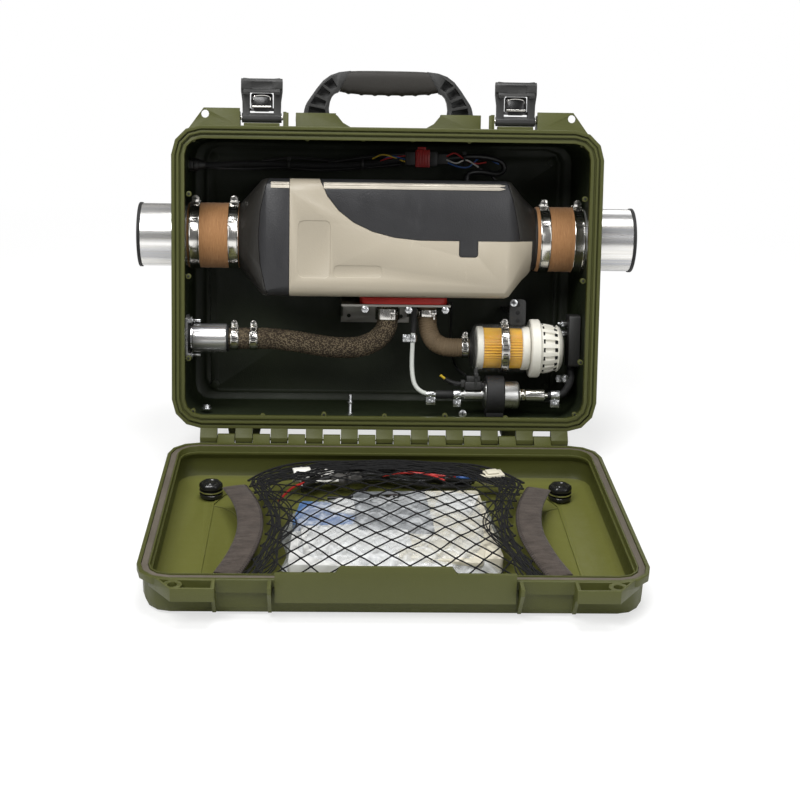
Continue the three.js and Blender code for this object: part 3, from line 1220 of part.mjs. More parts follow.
// Round slotted intake cap of the filter.
function makeFilterCap() {
  const [x0, x1, x2] = [
    CANISTER_END, CANISTER_END + CAP_RING, CANISTER_END + CAP_RING + CAP_DOME,
  ];
  const cap = turned([
    [x0, 0], [x0, CAP_RADIUS - 1.5], [x0 + 1.5, CAP_RADIUS], [x1 - 1.5, CAP_RADIUS],
    [x1, CAP_RADIUS - 1.5], [x1, CAP_DOME_RADIUS], [x2 - 9, CAP_DOME_RADIUS - 1],
    [x2 - 3, CAP_DOME_RADIUS - 6], [x2, CAP_DOME_RADIUS - 16], [x2, 0],
  ], FILTER_AXIS, FILTER_ROUND);
  const throat = CAP_DOME_RADIUS - 9.5;
  const cavity = turned([
    [x0 - 1, 0], [x0 - 1, throat], [x0 + 3, throat], [x0 + 4, throat + 6],
    [x2 - 9, throat + 5], [x2 - 5, throat - 9], [x2 - 5, 0],
  ], FILTER_AXIS, FINE_ROUND);
  const slots = [];
  const count = 8;
  for (let i = 0; i < count; i += 1) {
    slots.push(block([x1 + 4, x2 - 8], [throat + 3, CAP_DOME_RADIUS + 5], [-2, 2])
      .rotate([(360 * i) / count, 0, 0]).translate([0, ...FILTER_AXIS]));
  }
  return cut(cap, cavity, ...slots);
}

// Strap round the filter and the bent strip that carries it from the back of the case.
function makeFilterBracket() {
  const strapX = [CANISTER_START + 33, CANISTER_START + 43];
  const plateEnd = strapX[1] + 18;
  const r = CANISTER_RADIUS + CLEARANCE;
  const strap = pipe('x', r + 1.4, r, ...strapX, FILTER_AXIS, FILTER_ROUND);
  const top = FILTER_Y + r + 0.6;
  const front = -FILTER_DEPTH + 9;
  const shelfY = top + 14;
  const back = BASE_FLOOR + CLEARANCE;
  const plateX = [strapX[1], plateEnd];
  const ears = block([strapX[0], plateEnd], [top - 2.4, top + 2], [front - 18, front]);
  const upright = block(plateX, [top - 1, shelfY], [front - 2, front]);
  const shelf = block(plateX, [shelfY - 2, shelfY], [back, front]);
  const flange = block(plateX, [shelfY - 2, shelfY + 12], [back, back + 2]);
  const screw = rod('x', 2, strapX[0] - 5, strapX[1] + 4, [top + 2.6, front - 9], 6);
  const holes = [0, 1, 2, 3].map((i) => rod(
    'y', 3, shelfY - 5, shelfY + 5, [back + 16 + i * 16, strapX[1] + 9], FINE_ROUND));
  const canister = rod('x', r, CANISTER_START, CANISTER_END, FILTER_AXIS, FILTER_ROUND);
  return cut(join(strap, ears, upright, shelf, flange, screw), canister, ...holes);
}

// ---------------------------------------------------------------- fuel

function makeFuelLine() {
  const z = -FUEL_PORT_DEPTH;
  return sweep([
    [FUEL_PORT_X, FOOT_FACE - CLEARANCE, z], [FUEL_PORT_X, FOOT_FACE - 19.5, z],
    [FUEL_PORT_X, FOOT_FACE - 37.5, z], [FUEL_PORT_X - 1.1, PUMP_Y + 57, z + 1],
    [FUEL_PORT_X - 1.3, PUMP_Y + 30, z + 4], [FUEL_PORT_X + 2, PUMP_Y + 12, z + 7],
    [FUEL_PORT_X + 10.5, PUMP_Y + 3, z + 9], [LINE_END - 27, PUMP_Y + 0.3, z + 10],
    [LINE_END - 13, PUMP_Y, -PUMP_DEPTH], [LINE_END, PUMP_Y, -PUMP_DEPTH],
  ], FUEL_LINE_RADIUS, 13);
}

function makePumpBody() {
  const [x0, x1, x2, x3] = PUMP_X;
  const stem = PUMP_STEM_RADIUS;
  const body = turned([
    [LINE_END + CLEARANCE, 0], [LINE_END + CLEARANCE, 4.2], [x0, 4.2], [x0, stem],
    [x1 - 3, stem], [x1 - 1, PUMP_RADIUS - 1.5], [x1 + 1, PUMP_RADIUS],
    [x2 - 2, PUMP_RADIUS], [x2, PUMP_RADIUS - 2.5], [x2, PUMP_HEX_RADIUS],
    [x2 + 12, PUMP_HEX_RADIUS], [x2 + 12, stem], [x3, stem], [x3, 3.4], [x3 + 4, 3.4],
    [x3 + 4, 0],
  ], PUMP_AXIS, 12);
  const hex = rod('x', PUMP_HEX_RADIUS + 1.4, x2 + 14, x2 + 22, PUMP_AXIS, 6);
  const socket = block([x1 - 24, x1 - 4], [PUMP_Y + 4, PUMP_Y + 19],
    [-PUMP_DEPTH - 7, -PUMP_DEPTH + 7]);
  return join(body, hex, socket);
}

function makePumpMount() {
  const [from, to] = PUMP_RING_X;
  const ring = rod('x', PUMP_RING_RADIUS, from, to, PUMP_AXIS, ROUND);
  const seat = PIN_TO_BEAD + wallInset(-PUMP_DEPTH - 16) + WALL + CLEARANCE;
  const foot = block([from, to], [seat, PUMP_Y - 10], [-PUMP_DEPTH - 16, -PUMP_DEPTH + 12]);
  return cut(join(ring, foot), rod('x', PUMP_RADIUS + CLEARANCE, from - 1, to + 1, PUMP_AXIS, 12));
}

function makeFuelInletHose() {
  const end = PUMP_X[3] + 4 + CLEARANCE;
  return sweep([
    [end, PUMP_Y, -PUMP_DEPTH], [end + 8, PUMP_Y, -PUMP_DEPTH],
    [end + 18, PUMP_Y + 1.6, -PUMP_DEPTH - 3], [end + 26, PUMP_Y + 9, -PUMP_DEPTH - 12],
    [HOSE_TOP_X, PUMP_Y + 18, -SERVICE_STUB_DEPTH + 6],
    [HOSE_TOP_X, SERVICE_Y[0] - 6, -SERVICE_STUB_DEPTH],
    [HOSE_TOP_X, SERVICE_Y[0] - CLEARANCE, -SERVICE_STUB_DEPTH],
  ], INLET_HOSE_RADIUS, 10);
}

const SERVICE_WALL = SIDE - wallInset(-SERVICE_DEPTH[1]) - WALL - CLEARANCE;
const SERVICE_FACE = SERVICE_WALL - SERVICE_THICKNESS;
const HOSE_TOP_X = SERVICE_FACE + SERVICE_THICKNESS / 2;

// Moulded block on the right wall where the fuel comes in.
function makeServiceBlock() {
  const body = prism('x', roundedRectangle(
    SERVICE_Y[0], SERVICE_Y[1], -SERVICE_DEPTH[1], -SERVICE_DEPTH[0], 3),
  SERVICE_FACE, SERVICE_WALL, 1);
  const stub = rod('x', INLET_STUB, SERVICE_WALL - 1, SIDE - 6,
    [SERVICE_STUB_Y, -SERVICE_STUB_DEPTH], FINE_ROUND);
  const nuts = [9, 21].map((offset) => rod('x', 3.8, SERVICE_FACE - 2.5, SERVICE_FACE + 1,
    [SERVICE_STUB_Y + offset, -SERVICE_STUB_DEPTH], 6));
  return join(body, stub, ...nuts);
}

// ---------------------------------------------------------------- wiring

function makePowerCable() {
  const wall = -(SIDE - wallInset(-GLAND_DEPTH - 8) - WALL) + CLEARANCE;
  const nut = rod('x', 8.5, wall, wall + 6, [GLAND_Y, -GLAND_DEPTH], 6);
  const thread = rod('x', GLAND_THREAD, 4 - SIDE, wall + 1, [GLAND_Y, -GLAND_DEPTH],
    FINE_ROUND);
  const sleeve = turned([
    [wall + 5, 0], [wall + 5, 6.6], [wall + 12, 5.4], [wall + 20, 3.6], [wall + 20, 0],
  ], [GLAND_Y, -GLAND_DEPTH], FINE_ROUND);
  const cable = sweep([
    [wall + 6, GLAND_Y, -GLAND_DEPTH], [wall + 33, GLAND_Y, -GLAND_DEPTH],
    [wall + 68, GLAND_Y + 2.5, -106], [-125, GLAND_Y + 2, -110], [-75, GLAND_Y + 1, -110],
    [-25, GLAND_Y + 3, -106], [8, HARNESS_Y - 3, -HARNESS_DEPTH],
    [22, HARNESS_Y, -HARNESS_DEPTH],
    [CONNECTOR_X[0] - CLEARANCE, HARNESS_Y, -HARNESS_DEPTH],
  ], 3.6, 12);
  return join(nut, thread, sleeve, cable);
}

function makeInlineConnector() {
  const [from, to] = CONNECTOR_X;
  const body = block([from, to], [HARNESS_Y - 11, HARNESS_Y + 11],
    [-HARNESS_DEPTH - 7, -HARNESS_DEPTH + 7]);
  const latch = block([from + 3, to - 5], [HARNESS_Y + 10, HARNESS_Y + 14],
    [-HARNESS_DEPTH - 3, -HARNESS_DEPTH + 3]);
  const collar = block([to - 1, to + 9], [HARNESS_Y - 8, HARNESS_Y + 8],
    [-HARNESS_DEPTH - 5, -HARNESS_DEPTH + 5]);
  return join(body, latch, collar);
}

function makeHeaterCable() {
  const top = HEATER_Y + HEATER_HALF_HEIGHT + CLEARANCE;
  const start = CONNECTOR_X[1] + 9 + CLEARANCE;
  return sweep([
    [start, HARNESS_Y, -HARNESS_DEPTH], [start + 10, HARNESS_Y, -HARNESS_DEPTH],
    [96, HARNESS_Y + 3, -102], [122, HARNESS_Y + 3, -108], [142, HARNESS_Y - 2, -114],
    [147, HARNESS_Y - 11, -116], [138, top + 9, -112], [118, top + 11, -104],
    [104, top + 10, -100], [100, top + 5, -100], [100, top, -100],
  ], 3.4, 13);
}

// ---------------------------------------------------------------- storage in the lid

// Pieces in the lid are drawn in the lid's frame, where x points the other way.

// The side bands and the net between them are drawn in at half height.
function netSide(y) {
  const share = (y - PIN_TO_BEAD - 83.3) / (CASE_HEIGHT - 112);
  return NET_HALF_WIDTH - 27 * Math.sin(Math.PI * Math.min(Math.max(share, 0), 1));
}

function netLevel(x, y) {
  const u = Math.min(Math.abs(x) / (NET_HALF_WIDTH - 8), 1);
  const v = Math.abs(y - CASE_MIDDLE) / (NET_FRONT - CASE_MIDDLE);
  return NET_EDGE_LEVEL + 10 * (1 - u ** 3) * (1 - v ** 4);
}

// Sheet of diamond meshes. Each strand is thickest along its middle line, which it shares
// with the next mesh, and thins to an edge at the gaps on both sides.
function makeStorageNet() {
  const across = NET_COLUMNS * 2;
  const along = NET_ROWS * 2;
  const points = [];
  const triangles = [];
  const known = new Map();
  const vertex = (i, j, side) => {
    const key = `${i},${j},${side}`;
    if (!known.has(key)) {
      const y = NET_BACK + ((NET_FRONT - NET_BACK) * j) / along;
      const half = netSide(y);
      const x = -half + (2 * half * i) / across;
      known.set(key, points.length);
      points.push([x, y, netLevel(x, y) + (side * NET_THICKNESS) / 2]);
    }
    return known.get(key);
  };
  const isGap = (i, j) => (i + j) % 2 === 0 && i > 0 && j > 0 && i < across && j < along;
  const corners = [[1, 0], [0, 1], [-1, 0], [0, -1]];
  const reach = 1 - STRAND_SHARE;
  for (let i = 1; i < across; i += 1) {
    for (let j = 1; j < along; j += 1) {
      if (!isGap(i, j)) continue;
      corners.forEach(([u, v], k) => {
        const [p, q] = corners[(k + 1) % 4];
        const [topA, topB] = [vertex(i + u, j + v, 1), vertex(i + p, j + q, 1)];
        const [lowA, lowB] = [vertex(i + u, j + v, -1), vertex(i + p, j + q, -1)];
        const edgeA = vertex(i + u * reach, j + v * reach, 0);
        const edgeB = vertex(i + p * reach, j + q * reach, 0);
        triangles.push(topA, topB, edgeB, topA, edgeB, edgeA);
        triangles.push(lowA, edgeB, lowB, lowA, edgeA, edgeB);
        if (!isGap(i + u + p, j + v + q)) {
          triangles.push(topA, lowB, topB, topA, lowA, lowB);
        }
      });
    }
  }
  const geometry = new THREE.BufferGeometry();
  geometry.setAttribute('position', new THREE.Float32BufferAttribute(points.flat(), 3));
  geometry.setIndex(triangles);
  return toSolid(geometry);
}

// Curved strip of padded suede along one edge of the net.
function makeNetBand(side) {
  const width = 27;
  const steps = 8;
  const rings = [];
  for (let i = 0; i <= steps; i += 1) {
    const share = i / steps;
    const y = PIN_TO_BEAD + 96.3 + share * (CASE_HEIGHT - 130);
    const inner = netSide(y) - 5;
    const lean = 6 * (1 - 2 * share) * Math.abs(1 - 2 * share);
    const level = netLevel(inner, y) + NET_THICKNESS / 2 + 0.5;
    const section = [
      [inner, level], [inner + width, level - 1], [inner + width, level + 1.6],
      [inner + width / 2, level + 3], [inner, level + 2.2],
    ];
    const ordered = side > 0 ? section : section.reverse();
    rings.push(ordered.map(([x, z]) => [side * x, y + lean, z]));
  }
  return loft(rings.map((ring) => ring.reverse()));
}

function makeNetPost(side) {
  const seat = LID_FLOOR + 2 + CLEARANCE;
  const profile = [
    [seat, 0], [seat, 13], [seat + 4, 13], [seat + 5, 8.5], [seat + 8, 8.5],
    [seat + 9, 12.5], [seat + 11, 13.6], [seat + POST_HEIGHT - 2.4, 13.2],
    [seat + POST_HEIGHT - 1, 11], [seat + POST_HEIGHT - 1, 0],
  ].map(([along, radius]) => new THREE.Vector2(radius, along));
  const body = toSolid(new THREE.LatheGeometry(profile, FINE_ROUND).rotateX(Math.PI / 2));
  return body.translate([side * POST_X, POST_Y, 0]);
}

// Bag of accessories that lies under the net.
function makeAccessoryBag() {
  const [columns, rows] = [7, 6];
  const [left, right, back, front] = [-117, 119, CASE_MIDDLE - 59.7, CASE_MIDDLE + 115.3];
  const floor = LID_FLOOR + CLEARANCE;
  const positions = [];
  const level = (u, v) => {
    const crown = (1 - Math.abs(2 * u - 1) ** 4) * (1 - Math.abs(2 * v - 1) ** 4);
    const lumps = 1.4 * Math.sin(7 * u + 2) * Math.sin(9 * v + 1);
    return floor + 3 + (21 + lumps) * crown;
  };
  for (const isTop of [false, true]) {
    for (let j = 0; j <= rows; j += 1) {
      for (let i = 0; i <= columns; i += 1) {
        const [u, v] = [i / columns, j / rows];
        positions.push(left + u * (right - left), back + v * (front - back),
          isTop ? level(u, v) : floor);
      }
    }
  }
  const stride = columns + 1;
  const layer = stride * (rows + 1);
  const index = [];
  for (let j = 0; j < rows; j += 1) {
    for (let i = 0; i < columns; i += 1) {
      const a = j * stride + i;
      index.push(a, a + stride, a + stride + 1, a, a + stride + 1, a + 1);
      index.push(layer + a, layer + a + 1, layer + a + stride + 1);
      index.push(layer + a, layer + a + stride + 1, layer + a + stride);
    }
  }
  const wallStrip = (a, b) => index.push(a, b, b + layer, a, b + layer, a + layer);
  for (let i = 0; i < columns; i += 1) {
    wallStrip(i, i + 1);
    wallStrip(rows * stride + i + 1, rows * stride + i);
  }
  for (let j = 0; j < rows; j += 1) {
    wallStrip((j + 1) * stride, j * stride);
    wallStrip(j * stride + columns, (j + 1) * stride + columns);
  }
  const geometry = new THREE.BufferGeometry();
  geometry.setAttribute('position', new THREE.Float32BufferAttribute(positions, 3));
  geometry.setIndex(index);
  return toSolid(geometry);
}

// Tied loom of spare leads with a plug at each end, laid behind the bag.
function makeAccessoryHarness() {
  const radius = 6;
  const level = LID_FLOOR + PANEL_LINE + CLEARANCE + radius;
  const loom = sweep([
    [-112, 96, level], [-96, 90, level], [-70, 76, level], [-35, 66, level],
    [5, 70, level], [35, 80, level], [58, 80, level], [72, 76, level], [80, 76, level],
  ], radius, 10);
  const plug = (x0, x1, y, turn) => block([x0, x1], [-8, 8], [-radius, 9])
    .rotate([0, 0, turn]).translate([0, y, level]);
  return join(loom, plug(-136, -110, 96, 0), plug(76, 110, 76, 0));
}

// ---------------------------------------------------------------- assembly

const inBase = (name, material, solid) => addPiece(basePlace, name, material, solid);
const inLid = (name, material, solid) => addPiece(lidPlace, name, material, solid);

inBase('base_shell', OLIVE, makeBaseShell());
inLid('lid_shell', OLIVE, makeLidShell());
inBase('hinge_pin', STEEL, rod(
  'x', PIN_RADIUS, -HINGE_LENGTH / 2, HINGE_LENGTH / 2, [0, 0], 6));
inLid('lid_gasket', GASKET_RUBBER, makeLidGasket());
inBase('latch_arm_left', BLACK_PLASTIC, makeLatchArm(-1));
inBase('latch_arm_right', BLACK_PLASTIC, makeLatchArm(1));
inBase('latch_lever_left', STEEL, makeLatchLever(-1));
inBase('latch_lever_right', STEEL, makeLatchLever(1));
inBase('handle_frame', BLACK_PLASTIC, makeHandleFrame());
inBase('handle_grip', BLACK_RUBBER, makeHandleGrip());

const casings = makeCasings();
inBase('inlet_hood', BLACK_PLASTIC, casings.inletHood);
inBase('inlet_casing', DARK_PLASTIC, casings.inletCasing);
inBase('lower_casing', CREAM_PLASTIC, casings.lowerCasing);
inBase('upper_casing', DARK_PLASTIC, casings.upperCasing);
inBase('outlet_hood', BLACK_PLASTIC, casings.outletHood);
inBase('heat_exchanger', ALUMINIUM, makeHeatExchanger());
inBase('burner_tube', STEEL, makeBurnerTube());
inBase('glow_plug', STEEL, makeGlowPlug());
inBase('fan_motor', ZINC_PLATE, makeFanMotor());
inBase('air_impeller', BLACK_PLASTIC, makeAirImpeller());
inBase('combustion_wheel', ALUMINIUM, makeCombustionWheel());
inBase('control_board', CIRCUIT_BOARD, makeControlBoard());
inBase('base_gasket', RED_RUBBER, makeBaseGasket());
inBase('mount_bracket', ZINC_PLATE, makeMountBracket());

inBase('wall_duct_left', STEEL, makeWallDuct(-1));
inBase('wall_duct_right', STEEL, makeWallDuct(1));
inBase('duct_trim_left', BLACK_RUBBER, makeDuctTrim(-1));
inBase('duct_trim_right', BLACK_RUBBER, makeDuctTrim(1));
inBase('duct_sleeve_left', TAN_SLEEVE, makeDuctSleeve(SLEEVE_LEFT));
inBase('duct_sleeve_right', TAN_SLEEVE, makeDuctSleeve(SLEEVE_RIGHT));
const clampNames = ['left_outer', 'left_inner', 'right_inner', 'right_outer'];
CLAMP_X.forEach((x, i) => {
  const radius = DUCT_RADIUS + SLEEVE_WALL + 2 * CLEARANCE;
  inBase(`duct_clamp_${clampNames[i]}`, STEEL,
    wormClamp(x, HEATER_AXIS, radius, CLAMP_WIDTH, ROUND));
});

inBase('exhaust_outlet', STEEL, makeExhaustOutlet());
inBase('exhaust_hose', BRAID, makeExhaustHose());
[[8, 'outer'], [31, 'inner']].forEach(([along, name]) => {
  inBase(`exhaust_clamp_${name}`, STEEL, wormClamp(EXHAUST_JOIN + along, EXHAUST_AXIS,
    roundTube(EXHAUST_HOSE_RADIUS, SMALL_ROUND), 9, SMALL_ROUND));
});
inBase('intake_hose', BROWN_HOSE, makeIntakeHose());
inBase('intake_clamp', STEEL, wormClamp(CANISTER_START - 9, FILTER_AXIS,
  roundTube(INTAKE_HOSE_RADIUS, SMALL_ROUND), 9, SMALL_ROUND));
inBase('filter_canister', CLEAR_PLASTIC, makeFilterCanister());
inBase('filter_element', FILTER_PAPER, makeFilterElement());
inBase('filter_cap', OFF_WHITE, makeFilterCap());
inBase('filter_bracket', BLACK_PLASTIC, makeFilterBracket());

inBase('fuel_line', OFF_WHITE, makeFuelLine());
inBase('pump_body', ALUMINIUM, makePumpBody());
inBase('pump_mount', BLACK_RUBBER, makePumpMount());
inBase('fuel_inlet_hose', BLACK_RUBBER, makeFuelInletHose());
inBase('service_block', BLACK_PLASTIC, makeServiceBlock());

inBase('power_cable', BLACK_RUBBER, makePowerCable());
inBase('inline_connector', RED_RUBBER, makeInlineConnector());
inBase('heater_cable', BLACK_RUBBER, makeHeaterCable());

inLid('net_post_left', BLACK_PLASTIC, makeNetPost(1));
inLid('net_post_right', BLACK_PLASTIC, makeNetPost(-1));
inLid('storage_net', NET_CORD, makeStorageNet());
inLid('net_band_left', SUEDE, makeNetBand(1));
inLid('net_band_right', SUEDE, makeNetBand(-1));
inLid('accessory_bag', CLEAR_PLASTIC, makeAccessoryBag());
inLid('accessory_harness', BLACK_RUBBER, makeAccessoryHarness());

export default group;
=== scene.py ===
"""Looks of a portable diesel air heater in an open carrying case.

Lengths are written in millimetres in the frame of one half of the case, as in the CAD source:
the hinge pin is the x axis, y runs from the pin to the latch side, and z is the height above
the rim plane, so that the inside of a half has negative z. BASE turns them into the row frame, in
metres, and TRAY does so for things in the lid.
"""
import random
from math import copysign, cos, hypot, pi, radians, sin, sqrt

import bmesh
import bpy
import numpy as np
from mathutils import Matrix, Vector, noise


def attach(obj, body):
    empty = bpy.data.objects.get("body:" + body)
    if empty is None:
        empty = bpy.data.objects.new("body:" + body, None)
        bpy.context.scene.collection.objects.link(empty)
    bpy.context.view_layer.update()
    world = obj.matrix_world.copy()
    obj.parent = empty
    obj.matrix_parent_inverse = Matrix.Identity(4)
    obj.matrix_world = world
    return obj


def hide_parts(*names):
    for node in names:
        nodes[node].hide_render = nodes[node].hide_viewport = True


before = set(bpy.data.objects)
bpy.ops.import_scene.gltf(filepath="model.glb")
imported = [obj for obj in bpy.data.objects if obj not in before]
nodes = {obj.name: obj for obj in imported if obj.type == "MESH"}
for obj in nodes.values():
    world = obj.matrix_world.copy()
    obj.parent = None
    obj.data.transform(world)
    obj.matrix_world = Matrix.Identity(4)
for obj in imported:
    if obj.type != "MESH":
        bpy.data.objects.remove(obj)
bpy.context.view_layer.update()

# ---------------------------------------------------------------- places, in millimetres

PIN = Matrix.Scale(0.001, 4) @ Matrix.Translation((0, 187.7, 43))
BASE = PIN @ Matrix.Rotation(radians(78), 4, "X")

# Things in the lid are drawn in the tray's frame: x as in the row, y from the pin to the front
# and z above the rim plane.
TRAY = PIN @ Matrix.Scale(-1, 4, (0, 1, 0))

# Axes of turned pieces, as y and z.
HEATER = (235.5, -80)
DUCT_RADIUS = 37.5
LATCH_X = 146.5
EXHAUST = (111.5, -72)
FILTER = (104, -62)
PUMP = (48, -50)


# ---------------------------------------------------------------- camera

def make_camera():
    pitch, yaw, roll = (radians(a) for a in (19.17, 1.72, 1.15))
    ahead = Vector((sin(yaw) * cos(pitch), cos(yaw) * cos(pitch), -sin(pitch)))
    level = Vector((cos(yaw), -sin(yaw), 0))
    above = level.cross(ahead)
    right = level * cos(roll) + above * sin(roll)
    up = above * cos(roll) - level * sin(roll)
    data = bpy.data.cameras.new("camera")
    data.sensor_width = 36
    data.lens = 36 * 1501.2 / 800
    data.shift_x = (400 - 374.25) / 800
    data.shift_y = (379.28 - 400) / 800
    data.clip_end = 60
    camera = bpy.data.objects.new("camera", data)
    camera.matrix_world = Matrix.Translation((-0.06291, -1.46068, 0.69186)) @ Matrix(
        (right, up, -ahead)).transposed().to_4x4()
    bpy.context.scene.collection.objects.link(camera)
    bpy.context.scene.camera = camera


make_camera()


# ---------------------------------------------------------------- material nodes

class Nodes:
    """A material's node tree, and short names for the nodes that the materials use."""

    def __init__(self, name):
        self.material = bpy.data.materials.new(name)
        self.material.use_nodes = True
        self.tree = self.material.node_tree
        self.tree.nodes.clear()
        self.out = self.tree.nodes.new("ShaderNodeOutputMaterial")
        self.shader = self.tree.nodes.new("ShaderNodeBsdfPrincipled")
        self.tree.links.new(self.shader.outputs[0], self.out.inputs[0])

    def put(self, socket, value):
        if hasattr(value, "is_linked") and hasattr(value, "node"):
            self.tree.links.new(value, socket)
        elif hasattr(value, "__len__") and len(value) == 3 and socket.type == "RGBA":
            socket.default_value = (*value, 1)
        else:
            socket.default_value = value

    def add(self, kind, inputs=(), **settings):
        made = self.tree.nodes.new("ShaderNode" + kind)
        for key, value in settings.items():
            setattr(made, key, value)
        for key, value in dict(inputs).items():
            self.put(made.inputs[key], value)
        return made

    def place(self, scale=(1, 1, 1), turn=(0, 0, 0), source="Object"):
        made = self.add("TexCoord")
        moved = self.add("Mapping", {"Vector": made.outputs[source], "Scale": scale,
            "Rotation": turn})
        return moved.outputs[0]

    def noise(self, scale, detail=3, rough=0.55, where=None, distortion=0.0):
        made = self.add("TexNoise", {"Scale": scale, "Detail": detail, "Roughness": rough,
            "Distortion": distortion})
        self.put(made.inputs["Vector"], where or self.place())
        return made.outputs["Fac"]

    def cells(self, scale, feature="F1", where=None, randomness=1.0):
        made = self.add("TexVoronoi", {"Scale": scale, "Randomness": randomness}, feature=feature)
        self.put(made.inputs["Vector"], where or self.place())
        return made.outputs["Distance"]

    def math(self, operation, a, b=0.0, clamp=False):
        made = self.add("Math", operation=operation, use_clamp=clamp)
        self.put(made.inputs[0], a)
        self.put(made.inputs[1], b)
        return made.outputs[0]

    def span(self, value, low, high, to_low=0.0, to_high=1.0):
        made = self.add("MapRange", {"Value": value, "From Min": low, "From Max": high,
            "To Min": to_low, "To Max": to_high})
        return made.outputs["Result"]

    def mix(self, share, a, b):
        made = self.add("Mix", data_type="RGBA")
        self.put(made.inputs[0], share)
        self.put(made.inputs[6], a)
        self.put(made.inputs[7], b)
        return made.outputs[2]

    def axis(self, vector, name):
        made = self.add("SeparateXYZ", {"Vector": vector})
        return made.outputs[name]

    def bump(self, height, strength, distance):
        made = self.add("Bump", {"Height": height, "Strength": strength, "Distance": distance})
        return made.outputs[0]

    def product(self, a, b):
        return self.math("MULTIPLY", a, b)

    def sum(self, a, b, clamp=False):
        return self.math("ADD", a, b, clamp)

    def wear(self, low=0.52, high=0.62):
        """1 on edges that stand out, from the mesh's own curvature."""
        made = self.add("NewGeometry")
        return self.span(made.outputs["Pointiness"], low, high)

    def set(self, **values):
        names = {"color": "Base Color", "rough": "Roughness", "metal": "Metallic",
            "normal": "Normal", "alpha": "Alpha", "sheen": "Sheen Weight",
            "sheen_rough": "Sheen Roughness", "ior": "IOR", "specular": "Specular IOR Level",
            "inner": "Subsurface Weight", "glow": "Emission Strength"}
        for key, value in values.items():
            self.put(self.shader.inputs[names[key]], value)
        return self.material


def paler(color, times, more):
    return tuple(min(1, c * times + more) for c in color)


def moulded(name, color, rough=0.5, grain=0.35, scale=900, worn=0.0, variation=0.18, specular=0.5):
    """Moulded plastic with a fine spark-eroded texture, faint scuffs and rubbed edges."""
    n = Nodes(name)
    cloud = n.noise(9, 4, 0.6)
    speck = n.noise(scale, 2, 0.5)
    scuff = n.noise(60, 5, 0.7, n.place((1, 1, 0.22)))
    dark = tuple(c * (1 - variation) for c in color)
    light = paler(color, 1 + variation, 0.004)
    tone = n.mix(cloud, dark, light)
    tone = n.mix(n.span(scuff, 0.62, 0.78, 0, 0.3), tone, paler(color, 1.5, 0.02))
    if worn:
        tone = n.mix(n.product(n.wear(), worn), tone, paler(color, 1.7, 0.05))
    rub = n.span(scuff, 0.35, 0.75, rough - 0.07, rough + 0.1)
    pits = n.cells(scale * 0.7)
    height = n.sum(speck, n.product(pits, 0.6))
    return n.set(color=tone, rough=rub, specular=specular, normal=n.bump(height, grain, 0.0003))


def rubber(name, color, rough=0.7, grain=0.4, scale=500):
    n = Nodes(name)
    dust = n.noise(30, 5, 0.65)
    tone = n.mix(n.span(dust, 0.45, 0.8, 0, 0.5), color, paler(color, 1.8, 0.012))
    return n.set(color=tone, rough=n.span(dust, 0.3, 0.8, rough - 0.1, rough + 0.12),
        specular=0.35, normal=n.bump(n.noise(scale, 3), grain, 0.0003))


def metal(name, color, rough=0.25, lines=(1, 1, 1), strength=0.12, scale=700, stain=0.35):
    """Metal with drawn lines, faint stains and uneven polish."""
    n = Nodes(name)
    brushed = n.noise(scale, 3, 0.6, n.place(lines))
    blot = n.noise(22, 5, 0.65)
    tone = n.mix(n.span(blot, 0.4, 0.8, 0, stain), color, tuple(c * 0.62 for c in color))
    tone = n.mix(n.span(brushed, 0.3, 0.7, 0, 0.16), tone, tuple(c * 0.8 for c in color))
    shine = n.sum(n.span(blot, 0.3, 0.8, rough - 0.06, rough + 0.12),
        n.span(brushed, 0.3, 0.7, -0.04, 0.06))
    return n.set(color=tone, metal=1.0, rough=shine, normal=n.bump(brushed, strength, 0.0002))


def woven(name, dark, light, count_around, pitch, rough=0.75, strength=0.8, fleck=None,
        share=0.72):
    """Braid of two crossing sets of strands. U goes once round and V is in metres."""
    n = Nodes(name)
    uv = n.place((1, 1, 1), source="UV")
    around = n.product(n.axis(uv, "X"), count_around)
    along = n.product(n.axis(uv, "Y"), 1.0 / pitch)
    rising = n.sum(around, along)
    falling = n.math("SUBTRACT", around, along)

    def ridge(value):
        part = n.math("FRACT", value)
        return n.math("SUBTRACT", 1.0, n.math("ABSOLUTE",
            n.math("SUBTRACT", n.product(part, 2.0), 1.0)))

    over = n.math("FRACT", n.product(n.sum(n.math("FLOOR", rising), n.math("FLOOR", falling)),
        0.5))
    over = n.math("GREATER_THAN", over, 0.25)
    up, down = ridge(rising), ridge(falling)
    high = n.sum(n.product(over, up), n.product(n.math("SUBTRACT", 1.0, over), down))
    fibre = n.noise(2600, 2, 0.6)
    height = n.sum(n.math("POWER", high, 0.6), n.product(fibre, 0.25))
    # Strand colour follows the height: painted shade darkens each strand's sides and the places
    # where it dips under the crossing strands, on top of the bump. The fleck colour fades out
    # towards these shaded parts.
    tone = n.mix(n.span(high, 0.1, 0.8), dark, light)
    if fleck:
        chosen = n.add("TexWhiteNoise", noise_dimensions="2D")
        cell = n.add("CombineXYZ", {"X": n.math("FLOOR", rising), "Y": n.math("FLOOR", falling)})
        n.put(chosen.inputs["Vector"], cell.outputs[0])
        tone = n.mix(n.product(n.math("GREATER_THAN", chosen.outputs["Value"], share),
            n.span(high, 0.35, 0.8)), tone, fleck)
    tone = n.mix(n.span(n.noise(40, 3), 0.3, 0.7, 0, 0.35), tone, dark)
    return n.set(color=tone, rough=rough, normal=n.bump(height, strength, 0.0006), specular=0.3)


